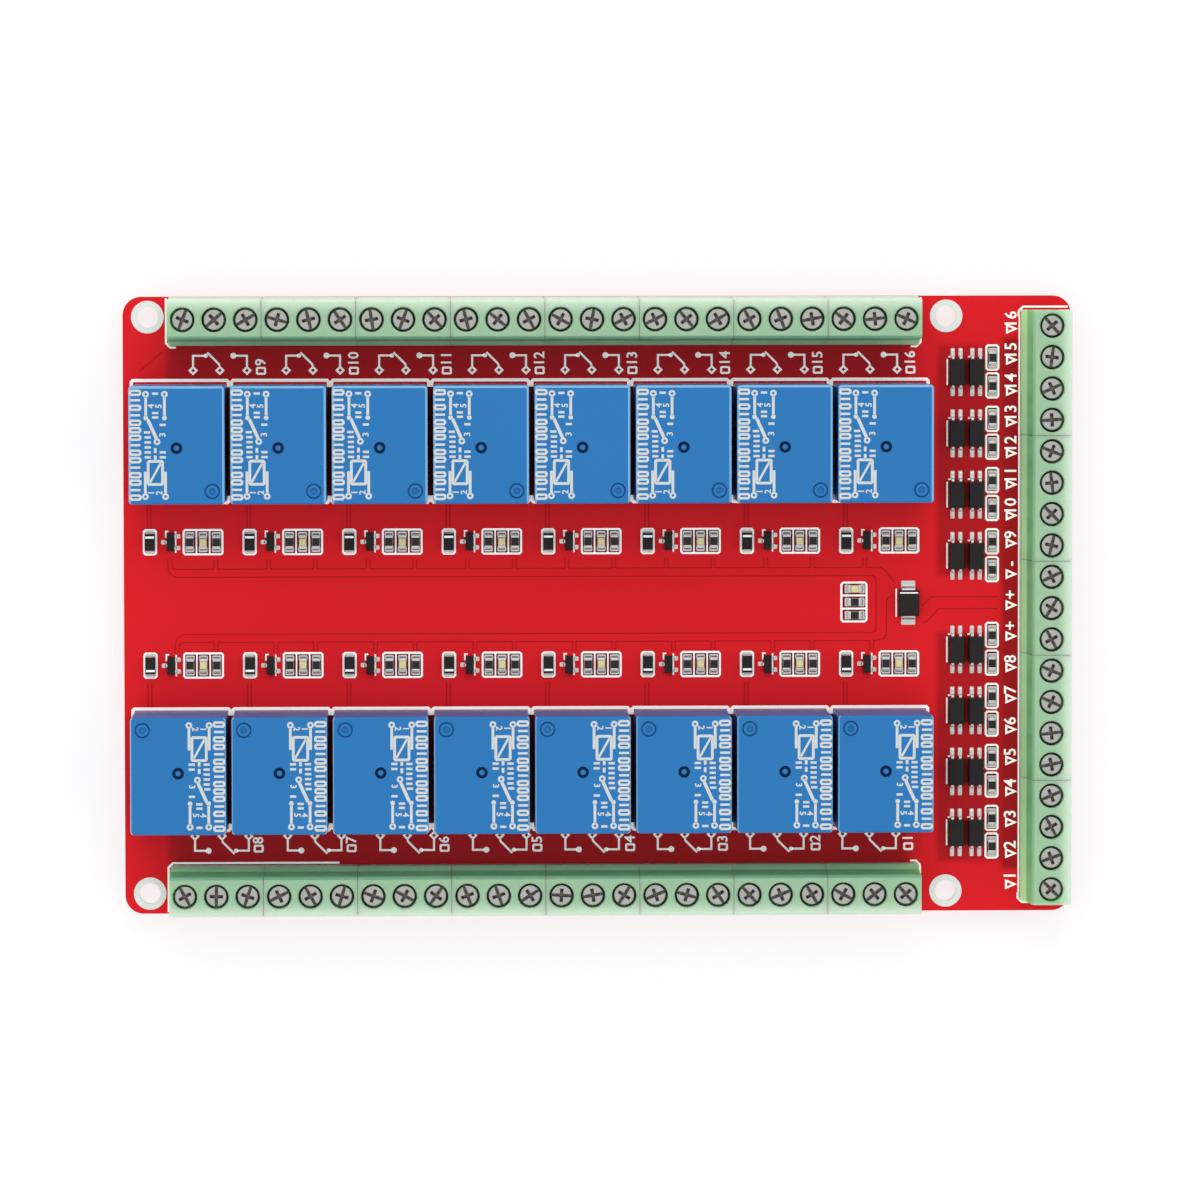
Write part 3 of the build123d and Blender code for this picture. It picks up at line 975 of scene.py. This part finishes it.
def modelOpto():
    look = optoLook
    body = modelBody(look["width"], look["length"], look["low"], look["high"], look["parting"])
    cutWith(body, addRound(look["dotRadius"], 1, (*look["dotPlace"], look["high"] - look["dotDepth"]), 18))
    return smoothBelow(body)


placePiece(paint(modelOpto(), coats["blackMoulding"]), optoSpots, "optoBodies",
           "black_moulding", "optocoupler_bodies")
optoLeads = modelLeads(optoLook, [(turn, x) for x in optoSides for turn in (0, 180)])
placePiece(paint(optoLeads, coats["tinnedMetal"]), optoSpots, "optoLeads",
           "tinned_leads", "optocoupler_leads")

transistorLook = {
    "x": stageLook["transistor"], "width": 1.3, "length": 2.9, "low": 0.05, "high": 1.0, "parting": 0.5,
    "draw": 0.86, "round": 0.05, "leadWidth": 0.45, "leadThickness": 0.15, "pitch": 1.9,
    "bend": [(0.58, 0.5), (0.76, 0.5), (0.84, 0.44), (0.9, 0.16), (0.98, 0.08), (1.27, 0.08)],
}
transistorSpots = [(x + transistorLook["x"], y, 0) for x, y in driverSpots]


def modelTransistor():
    look = transistorLook
    return smoothBelow(modelBody(look["width"], look["length"], look["low"], look["high"], look["parting"],
                                 look["draw"], look["round"]))


placePiece(paint(modelTransistor(), coats["blackMoulding"]), transistorSpots, "transistors",
           "black_moulding", "transistor_bodies")
legShift = transistorLook["pitch"] / 2
transistorLeads = modelLeads(transistorLook, [(90, 0), (-90, -legShift), (-90, legShift)])
placePiece(paint(transistorLeads, coats["tinnedMetal"]), transistorSpots, "transistorLeads",
           "tinned_leads", "transistor_leads")

flybackLook = {
    "x": stageLook["flyback"], "width": 1.7, "length": 2.8, "high": 1.1, "parting": 0.55,
    "strapWidth": 1.15, "strapThickness": 0.12, "bandY": 0.82, "bandLength": 0.34,
    "strap": [(1.3, 0.56), (1.44, 0.56), (1.5, 0.48), (1.5, 0.16), (1.44, 0.08), (1.3, 0.08)],
}
powerDiodeLook = {
    "width": 3.5, "length": 4.3, "high": 2.2, "parting": 1.15,
    "strapWidth": 2.1, "strapThickness": 0.25, "bandY": 1.72, "bandLength": 0.2,
    "strap": [(2.05, 1.12), (2.28, 1.12), (2.4, 1.05), (2.46, 0.9), (2.54, 0.32), (2.62, 0.19),
              (2.74, 0.13), (3.05, 0.13)],
}


def modelDiode(look):
    width, high = look["width"], look["high"]
    body = smoothBelow(modelBody(width, look["length"], 0.05, high, look["parting"], 0.9, 0.08))
    band = addBlock((width * 0.84, look["bandLength"], 0.02), (0, look["bandY"], high + 0.01))
    parts = [paint(body, coats["blackMoulding"]), paint(band, coats["silkInk"])]
    for turn in (0, 180):
        strap = modelLead(look["strap"], look["strapThickness"], look["strapWidth"])
        strap.data.transform(spin(turn))
        parts.append(paint(smoothBelow(strap, 50), coats["tinnedMetal"]))
    return joinAll(parts)


flybackSpots = [(x + flybackLook["x"], y, 0 if y > 0 else 180) for x, y in driverSpots]
placePiece(modelDiode(flybackLook), flybackSpots, "flybackDiodes", "black_moulding", "flyback_diodes")
placePiece(modelDiode(powerDiodeLook), [powerDiodeSpot], "powerDiode", "black_moulding", "power_diode")

chipLook = {"high": 0.5, "cap": 0.36, "capProud": 0.02, "capRound": 0.05, "filmRound": 0.03,
            "ledBase": 0.3, "ledHigh": 0.8, "lensDraw": 0.84, "lensRound": 0.07}


def modelCaps(high):
    cap, proud = chipLook["cap"], chipLook["capProud"]
    caps = []
    for side in (-1, 1):
        piece = addBlock((chipWidth + 2 * proud, cap, high + proud),
                         (0, side * (chipLength - cap) / 2, (high + proud) / 2 + 0.02))
        softenEdges(piece, anyEdge, chipLook["capRound"], 2)
        caps.append(piece)
    return paint(smoothBelow(joinAll(caps)), coats["tinnedMetal"])


def modelResistor():
    high = chipLook["high"]
    body = addBlock((chipWidth, chipLength - 0.1, high - 0.04), (0, 0, high / 2 + 0.02))
    film = addBlock((chipWidth - 0.06, chipLength - 2 * chipLook["cap"] + 0.02, 0.06), (0, 0, high + 0.01))
    softenEdges(film, edgeAtHeight(high + 0.04), chipLook["filmRound"], 1)
    return joinAll([paint(body, coats["ceramicChip"]), paint(film, coats["resistorFilm"]),
                    modelCaps(high - 0.02)])


def modelLed():
    low, rise = chipLook["ledBase"], chipLook["ledHigh"] - chipLook["ledBase"]
    base = addBlock((chipWidth, chipLength - 0.1, low), (0, 0, 0.17))
    lens = addBlock((chipWidth - 0.02, chipLength - 2 * chipLook["cap"], rise), (0, 0, low + rise / 2))
    resizeFaces(lens, faceUp, (chipLook["lensDraw"], chipLook["lensDraw"], 1))
    softenEdges(lens, anyEdge, chipLook["lensRound"], 3)
    return joinAll([paint(base, coats["ceramicChip"]), paint(smoothBelow(lens), coats["ledResin"]),
                    modelCaps(low + 0.02)])


def driverColumn(offset):
    return [(x + offset, y, 0) for x, y in driverSpots]


powerChipSpots = [(powerChipX, powerLedSpot.y - i * powerChipPitch, 90) for i in (1, 2)]
chipSets = (
    (modelResistor, driverColumn(stageLook["base"]), "baseResistors", "chip_resistor", "base_resistors"),
    (modelResistor, driverColumn(stageLook["series"]), "ledResistors", "chip_resistor", "led_resistors"),
    (modelResistor, inputChipSpots, "inputResistors", "chip_resistor", "input_resistors"),
    (modelResistor, powerChipSpots, "powerResistors", "chip_resistor", "power_resistors"),
    (modelLed, driverColumn(stageLook["led"]), "channelLeds", "led_lens", "channel_leds"),
    (modelLed, powerLedSpots, "powerLed", "led_lens", "power_led"),
)
for model, spots, name, slotName, node in chipSets:
    placePiece(model(), spots, name, slotName, node)


# Pads and solder fillets under every small part; a fillet is (width, length, height, place in Y)
padLook = {
    "chip": {"pad": (1.4, 0.85), "y": 1.2, "fillet": (1.15, 0.42, 0.3, 1.2)},
    "opto": {"pad": (0.68, 1.5), "y": 3.15, "fillet": (0.6, 0.3, 0.16, 3.6)},
    "flyback": {"pad": (1.5, 0.9), "y": 1.5},
    "diode": {"pad": (2.3, 1.5), "y": 2.85},
    "transistor": {"pad": (0.8, 0.7), "places": ((-1.15, 0), (1.15, -0.95), (1.15, 0.95))},
}


def modelPads(look, columns=(0,)):
    parts = []
    for x in columns:
        for side in (-1, 1):
            parts.append(modelPad(*look["pad"], x, side * look["y"]))
            if "fillet" in look:
                *size, y = look["fillet"]
                parts.append(modelFillet(*size, x, side * y, -side))
    return joinAll(parts)


transistorPads = joinAll([modelPad(*padLook["transistor"]["pad"], *place)
                          for place in padLook["transistor"]["places"]])
padSets = [
    spread(modelPads(padLook["chip"]), [spot for chipSet in chipSets for spot in chipSet[1]], "chipPads"),
    spread(modelPads(padLook["opto"], optoSides), optoSpots, "optoPads"),
    spread(transistorPads, transistorSpots, "transistorPads"),
    spread(modelPads(padLook["flyback"]), flybackSpots, "flybackPads"),
    spread(modelPads(padLook["diode"]), [powerDiodeSpot], "diodePads"),
]
finishPiece(paint(smoothBelow(joinAll(padSets), 40), coats["tinnedMetal"]), "solderPads", "tinned_leads")
print("small parts done")

# Printing on the board
silkLook = {
    "ink": 0.03, "line": 0.32, "thin": 0.24, "boxLength": 3.95, "boxCorner": 0.25,
    "relayLine": 0.5, "relaySide": 7.88, "relayEnds": (-9.8, 10.1), "relayCut": 0.25, "relayTurn": 1.1,
}
ink, thin = silkLook["ink"], silkLook["thin"]


def silkLine(points, width=None, closed=False):
    return addStrip(points, width or silkLook["line"], 0, ink, closed)


def silkBox(x, y, width, length=silkLook["boxLength"], corner=silkLook["boxCorner"]):
    return silkLine(boxLine(x, y, width, length, corner), None, True)


# Three contacts as small diamonds: the left one reaches the switch arm of the middle one
symbolLook = {
    "contacts": (-3.83, 0.52, 4.93), "low": 37.6, "middle": 38.14, "high": 38.7, "half": 0.56,
    "start": 38.85, "stem": 40.54, "arm": [(0.5, 38.88), (0.36, 39.2), (-1.5, 41.06)],
    "leftEnd": -1.9, "rightEnd": 3.1, "dots": ((0.34, -1.75, 12), (0.5, 2.72, 8)),
    "upper": (0.13, -0.117, 0.17), "lower": (1.2, -0.13, 0.51),     # shift, its change from block to block, Y
}


def modelContactSymbol():
    look = symbolLook
    low, middle, high, half, stem = (look[n] for n in ("low", "middle", "high", "half", "stem"))
    marks = [silkLine([(x, low), (x + half, middle), (x, high), (x - half, middle)], None, True)
             for x in look["contacts"]]
    for x, end in ((look["contacts"][0], look["leftEnd"]), (look["contacts"][2], look["rightEnd"])):
        marks.append(silkLine([(x, look["start"]), (x, stem), (end, stem)]))
    marks.append(silkLine(look["arm"]))
    marks += [addRound(radius, ink, (x, stem, 0), sides) for radius, x, sides in look["dots"]]
    return joinAll(marks)


# The outline of a relay where it shows: both ends and their corners
def modelRelayOutline():
    marks = []
    side, cut = silkLook["relaySide"], silkLook["relayCut"]
    for end in silkLook["relayEnds"]:
        turn = end - math.copysign(cut, end)
        start = end - math.copysign(silkLook["relayTurn"], end)
        marks.append(silkLine([(-side, start), (-side, turn), (cut - side, end), (side - cut, end),
                               (side, turn), (side, start)], silkLook["relayLine"]))
    return joinAll(marks)


outlineLook = {
    "flybackWidth": 1.98, "ledWidth": 6.3, "dividerHalf": 1.9,
    "transistor": (0.8, 1.75, 0.75, 0.45),     # half width, half length, start of the left line, its foot
    "inputBoxes": (-0.04, 0.08, 2.27, 1.95),   # shift in X and Y, from the middle, width
    "optoLine": (65.2, 2.1),                   # place in X, half length
    "optoTick": (2.5, -0.9, -1.35),            # place in Y, both ends in X
    "powerBox": (-0.12, 4.1, 6.35, 0.3),       # shift in X, width, length, corner
    "powerLine": (-2.05, 1.8),                 # both ends in X
    "diodeLine": (-1.95, 2.3),                 # shift in X, half length
}


def modelDriverOutline():
    led, pitch = stageLook["led"], stageLook["led"] - stageLook["base"]
    marks = [silkBox(stageLook["flyback"], 0, outlineLook["flybackWidth"]),
             silkBox(led, 0, outlineLook["ledWidth"])]
    for x in (led - pitch / 2, led + pitch / 2):
        marks.append(silkLine([(x, way * outlineLook["dividerHalf"]) for way in (-1, 1)], thin))
    half, reach, start, foot = outlineLook["transistor"]
    right, left = stageLook["transistor"] + half, stageLook["transistor"] - half
    marks.append(silkLine([(right, -reach), (right, reach)], thin))
    marks.append(silkLine([(left, start), (left, reach), (left + foot, reach)], thin))
    return joinAll(marks)


def modelInputOutline():
    shiftX, shiftY, away, width = outlineLook["inputBoxes"]
    marks = [silkBox(inputChipX + shiftX, side * away + shiftY, width) for side in (-1, 1)]
    lineX, reach = outlineLook["optoLine"]
    marks.append(silkLine([(lineX, -reach), (lineX, reach)], thin))
    tickY, *ends = outlineLook["optoTick"]
    marks += [silkLine([(x + end, tickY) for end in ends], thin) for x in optoColumns]
    return joinAll(marks)


def modelPowerOutline():
    x, y = powerChipX, powerLedSpot.y - powerChipPitch
    shift, *size = outlineLook["powerBox"]
    marks = [silkBox(x + shift, y, *size)]
    for dy in (-powerChipPitch / 2, powerChipPitch / 2):
        marks.append(silkLine([(x + end, y + dy) for end in outlineLook["powerLine"]]))
    shift, reach = outlineLook["diodeLine"]
    edge, middle = powerDiodeSpot[0] + shift, powerDiodeSpot[1]
    marks.append(silkLine([(edge, middle - reach), (edge, middle + reach)], thin))
    return joinAll(marks)


rowLook = {"inner": 4.6, "outer": 3.4, "past": 0.45, "cut": 0.7, "foot": 1.6, "lowLine": (-60.38, -34.1),
           "columnX": -4.5, "columnEnd": 1.2}


# Both ends of a terminal row; the rest of its outline lies under the housings
def modelRowOutline(half):
    x, inner, outer, cut = half + rowLook["past"], -rowLook["inner"], rowLook["outer"], rowLook["cut"]
    return joinAll([silkLine([(way * x, outer), (way * x, inner + cut), (way * (x - cut), inner),
                              (way * (x - rowLook["foot"]), inner)]) for way in (-1, 1)])


rowMiddle = sum(spot[0] for node, poles, spot in blocks["top"]) / len(blocks["top"])
rowAxis = blocks["top"][0][2][1]
columnAxis = blocks["input"][0][2][0]
inputPoles = polesOf("input")
columnMiddle = (inputPoles[0][1] + inputPoles[-1][1]) / 2
topBlocks = sorted(spot[0] for node, poles, spot in blocks["top"])
rowHalf = 12 * polePitch
columnHalf = len(inputPoles) * polePitch / 2


def symbolPlaces(row, turn):
    shift, drift, y = symbolLook[row]
    return [(x + shift + drift * i, y, turn) for i, x in enumerate(topBlocks)]


lowLineY = rowLook["inner"] - rowAxis
columnReach = columnHalf - rowLook["columnEnd"]
silk = [
    spread(modelRelayOutline(), relaySpots, "relayOutlines"),
    spread(silkLine([(0, -8.7), (0, 9.0)], silkLook["relayLine"]),
           [(relayColumns[end] + way * silkLook["relaySide"], y, turn) for end, way in ((0, -1), (7, 1))
            for y, turn in ((relayRow, 0), (-relayRow, 180))], "rowSides"),
    spread(modelContactSymbol(), symbolPlaces("upper", 0) + symbolPlaces("lower", 180), "contactSymbols"),
    spread(modelDriverOutline(), [(x, y, 0) for x, y in driverSpots], "driverOutlines"),
    spread(modelInputOutline(), [(0, y, 0) for y in pairRows], "inputOutlines"),
    spread(modelPowerOutline(), [(0, 0, 0)], "powerOutline"),
    spread(modelRowOutline(rowHalf), [(rowMiddle, rowAxis, 0), (rowMiddle, -rowAxis, 180)], "rowOutlines"),
    spread(modelRowOutline(columnHalf), [(columnAxis, columnMiddle, -90)], "columnOutline"),
    spread(silkLine([(x, lowLineY) for x in rowLook["lowLine"]]), [(0, 0, 0)], "lowRowLine"),
    spread(silkLine([(rowLook["columnX"], y) for y in (-columnReach, columnReach)], thin),
           [(columnAxis, columnMiddle, 0)], "columnLine"),
]

# Plain numbers with a small box: 9 to 16 beside the upper contacts and 8 to 1 beside the lower ones.
# The inputs have a small arrow and a number or sign, which sit higher where the number is short
labelLook = {
    "channelSize": 2.4, "boxWidth": 1.3, "boxLength": 0.95, "boxCorner": 0.1,
    "upper": (7.32, -0.13), "lower": (6.63, -0.07),      # shift, and its change from block to block
    "upperBox": 38.25, "lowerBox": -39.7, "lowerNumber": -38.35, "upperNumbers": [39.65] + 7 * [40.15],
    "inputSize": 2.75, "inputX": 75.65, "arrowHalf": (0.7, 0.6),
    "twoDigits": (-0.6, 0.93), "oneDigit": (-0.05, 1.35), "sign": (0, 1.7),     # arrow's and number's shift
    "inputs": "16 15 14 13 12 11 10 9 - + + 8 7 6 5 4 3 2 1".split(),
}
labels = []


def addMark(points):
    mark = silkLine(points, None, True)
    mark.data.transform(shiftBy(0, 0, boardTop))
    labels.append(mark)


def addLabel(body, x, y, size):
    labels.append(addNumber(body, x, y, size, 90, boardTop, ink))


def addChannel(number, x, boxY, numberY):
    addMark(boxLine(x, boxY, labelLook["boxWidth"], labelLook["boxLength"], labelLook["boxCorner"]))
    addLabel(str(number), x, numberY, labelLook["channelSize"])


(upperShift, upperDrift), (lowerShift, lowerDrift) = labelLook["upper"], labelLook["lower"]
for i, x in enumerate(topBlocks):
    addChannel(i + 9, x + upperShift + upperDrift * i, labelLook["upperBox"], labelLook["upperNumbers"][i])
    addChannel(8 - i, x + lowerShift + lowerDrift * i, labelLook["lowerBox"], labelLook["lowerNumber"])
labelX, (halfX, halfY) = labelLook["inputX"], labelLook["arrowHalf"]
for body, (x, y, turn) in zip(labelLook["inputs"], sorted(inputPoles, key=lambda spot: -spot[1])):
    tip, rise = labelLook["twoDigits" if len(body) > 1 else "oneDigit" if body.isdigit() else "sign"]
    addLabel(body, labelX, y + rise, labelLook["inputSize"])
    addMark([(labelX - halfX, y + tip - halfY), (labelX + halfX, y + tip), (labelX - halfX, y + tip + halfY)])
print("  numbers:", len(labels))
boardPrint = paint(joinAll(silk + labels), coats["silkInk"])
finishPiece(boardPrint, "boardPrint", "board_red")

# Fine dark lines where the copper under the lacquer ends
gapLook = {
    "line": 0.2, "proud": 0.012, "band": (4.66, 5.97), "branch": 0.6, "branchEnd": 7.6, "drift": 0.075,
    "ledBranch": 5.7, "diodeBranch": (5.1, 12.6, 17.0),
    "rows": ((1, -1.9, 54.3), (-1, -0.75, 53.4)),        # side, shift of the left end, right end
    "cornerEnd": 7.7, "innerLeft": -0.2, "innerRadius": 1.75, "innerRight": 53.0,
    "outerLeft": 0.45, "outerRadius": 0.75,
    "powerLines": (
        [(53.0, 4.66), (53.45, 4.45), (53.6, 4.0), (53.6, -4.0), (53.45, -4.45), (53.0, -4.66)],
        [(56.5, 1.5), (55.6, 1.1), (55.3, 0.6), (55.3, -4.9), (54.9, -5.6), (53.4, -5.97)],
        [(54.3, 5.97), (55.1, 5.5), (55.6, 4.9), (56.6, 3.5)],
        [(61.0, -0.5), (62.6, 1.15), (73.6, 1.15)],
        [(61.2, -3.0), (61.9, -2.9), (63.8, -0.8), (73.6, -0.8)]),
    "holeLine": [(-66.2, 38.3), (-62.6, 41.4)],
}


def gapLine(points):
    return addStrip(points, gapLook["line"], boardTop, gapLook["proud"])


def drawBranch(x, start, end):
    half = gapLook["branch"] / 2
    return [gapLine([(x - half, start), (x - half, end)]), gapLine([(x + half, start), (x + half, end)])]


def bend(x, y, radius, steps, side):
    return [(x, side * y) for x, y in arc(x, y, radius, 180, 270, steps)]


inner, outer = gapLook["band"]
innerRadius, outerRadius = gapLook["innerRadius"], gapLook["outerRadius"]
lines = []
# both long tracks, each with two branches to a driver stage, apart from the outer ends
for side, shift, last in gapLook["rows"]:
    left = relayColumns[0] + shift
    innerLeft, outerLeft = left + gapLook["innerLeft"], left + gapLook["outerLeft"]
    cornerEnd = side * gapLook["cornerEnd"]
    stops = []
    for i, x in enumerate(relayColumns):
        for offset in (shift, gapLook["ledBranch"]):
            spot = x + offset - gapLook["drift"] * i
            if i and offset < 0 or i < 7 and offset > 0:
                lines += drawBranch(spot, side * outer, side * gapLook["branchEnd"])
                stops.append(spot)
    edges = [outerLeft + outerRadius]
    edges += [spot + way * gapLook["branch"] / 2 for spot in stops for way in (-1, 1)] + [last]
    for start, end in zip(edges[::2], edges[1::2]):
        lines.append(gapLine([(start, side * outer), (end, side * outer)]))
    corner = bend(innerLeft + innerRadius, inner + innerRadius, innerRadius, 5, side)
    lines.append(gapLine([(innerLeft, cornerEnd)] + corner + [(gapLook["innerRight"], side * inner)]))
    corner = bend(outerLeft + outerRadius, outer + outerRadius, outerRadius, 3, side)
    lines.append(gapLine([(outerLeft, cornerEnd)] + corner))
lines += [gapLine(points) for points in gapLook["powerLines"]]
# relay to diode, and the diagonal beside the upper left hole
branchShift, branchStart, branchEnd = gapLook["diodeBranch"]
for x, y in driverSpots:
    side = 1 if y > 0 else -1
    lines += drawBranch(x - branchShift, side * branchStart, side * branchEnd)
lines.append(gapLine(gapLook["holeLine"]))
finishPiece(paint(joinAll(lines), coats["maskGap"]), "trackGaps", "board_red")
print("printing and tracks done")

# Deeper red fields: painted shade in the gaps between the relays and between the paired optocouplers, and
# darker red under the rows of chips
fieldLook = {"rise": 0.01, "relayGap": (1.2, 18.6), "stage": (6.0, 3.7), "inputChip": (1.7, 3.7),
             "power": (3.8, 6.1), "optoGap": (0.7, 4.0)}


def addFields(size, places):
    rise = fieldLook["rise"]
    return spread(addBlock((size[0], size[1], rise), (0, 0, rise / 2)), places, "fields")


gapColumns = [(left + right) / 2 for left, right in zip(relayColumns, relayColumns[1:])]
fields = [
    addFields(fieldLook["relayGap"], [(x, y, 0) for x in gapColumns for y in (relayRow, -relayRow)]),
    addFields(fieldLook["stage"], driverColumn(stageLook["led"])),
    addFields(fieldLook["inputChip"], inputChipSpots),
    addFields(fieldLook["power"], [(powerChipX, powerLedSpot.y - powerChipPitch, 0)]),
    addFields(fieldLook["optoGap"], [(sum(optoColumns) / 2, y, 0) for y in pairRows]),
]
finishPiece(paint(joinAll(fields), coats["maskField"]), "darkFields", "board_red")

# Underside: broad tracks from the relay contacts to the output terminals
trackLook = {
    "proud": 0.035, "cornerRound": 0.3,
    "contact": {"x": 6, "width": 2.0, "start": relayRow + 7.1, "bends": (36.2, 42.4)},
    "common": {"width": 2.6, "start": 19.5, "bends": (37.0, 41.0)},
    "rail": {"width": 2.2, "y": 13.2, "ends": (-64, 62)},
}


def addTrack(points, width):
    track = addStrip(points, width, -trackLook["proud"], trackLook["proud"])
    softenEdges(track, upright, trackLook["cornerRound"], 2)
    return track


# From a relay's pin at x to a terminal's pole, with a slanted stretch between the two bends
def drawTrack(look, x, poleX, side):
    first, second = look["bends"]
    return addTrack([(x, side * look["start"]), (x, side * first), (poleX, side * second),
                     (poleX, side * rowAxis)], look["width"])


tracks = []
contact, common, rail = trackLook["contact"], trackLook["common"], trackLook["rail"]
for x, blockX in zip(relayColumns, topBlocks):
    for side in (1, -1):
        for way in (-1, 1):
            tracks.append(drawTrack(contact, x + way * contact["x"], blockX + way * polePitch, side))
        tracks.append(drawTrack(common, x, blockX, side))
for side in (1, -1):
    tracks.append(addTrack([(end, side * rail["y"]) for end in rail["ends"]], rail["width"]))
finishPiece(paint(joinAll(tracks), coats["trackMask"]), "underTracks", "board_red")
print("underside done")

# Floor, light and camera
floorLook = {"size": 6000, "level": -2.25, "glow": 0.66}
pickNone()
bpy.ops.mesh.primitive_plane_add(size=floorLook["size"] * mm, location=(0, 0, floorLook["level"] * mm))
floor = settle()
floor.name = "paleFloor"
paint(floor, coats["paleFloor"])
setAll(coats["paleFloor"].node_tree.nodes["Principled BSDF"],
       {"Emission Color": (1, 1, 1, 1), "Emission Strength": floorLook["glow"]})

lightLook = {"world": 0.95, "keyWatts": 3.6, "keySize": (1.0, 0.7), "keyPlace": (0, 0.95, 1.2)}
world = bpy.data.worlds.new("studio")
bpy.context.scene.world = world
world.use_nodes = True
setAll(world.node_tree.nodes["Background"], {"Color": (1, 1, 1, 1), "Strength": lightLook["world"]})
keySpot = Vector(lightLook["keyPlace"])
bpy.ops.object.light_add(type="AREA", location=keySpot)
key = bpy.context.object
key.name = "keyLight"
key.data.energy = lightLook["keyWatts"]
key.data.shape = "RECTANGLE"
key.data.size, key.data.size_y = lightLook["keySize"]
key.rotation_euler = (-keySpot).to_track_quat("-Z", "Y").to_euler()
bpy.context.scene.view_settings.view_transform = "Standard"

cameraLook = {"place": (-19.3, 58.3, 1075.8), "turn": (-3.062, -1.487, -0.079), "lens": 197.9}
bpy.ops.object.camera_add(location=metres(cameraLook["place"]),
                          rotation=[math.radians(value) for value in cameraLook["turn"]])
camera = bpy.context.object
camera.data.lens = cameraLook["lens"]
camera.data.sensor_width = 36
camera.data.clip_start = 0.05
camera.data.clip_end = 20
bpy.context.scene.camera = camera
print("floor, light and camera done")
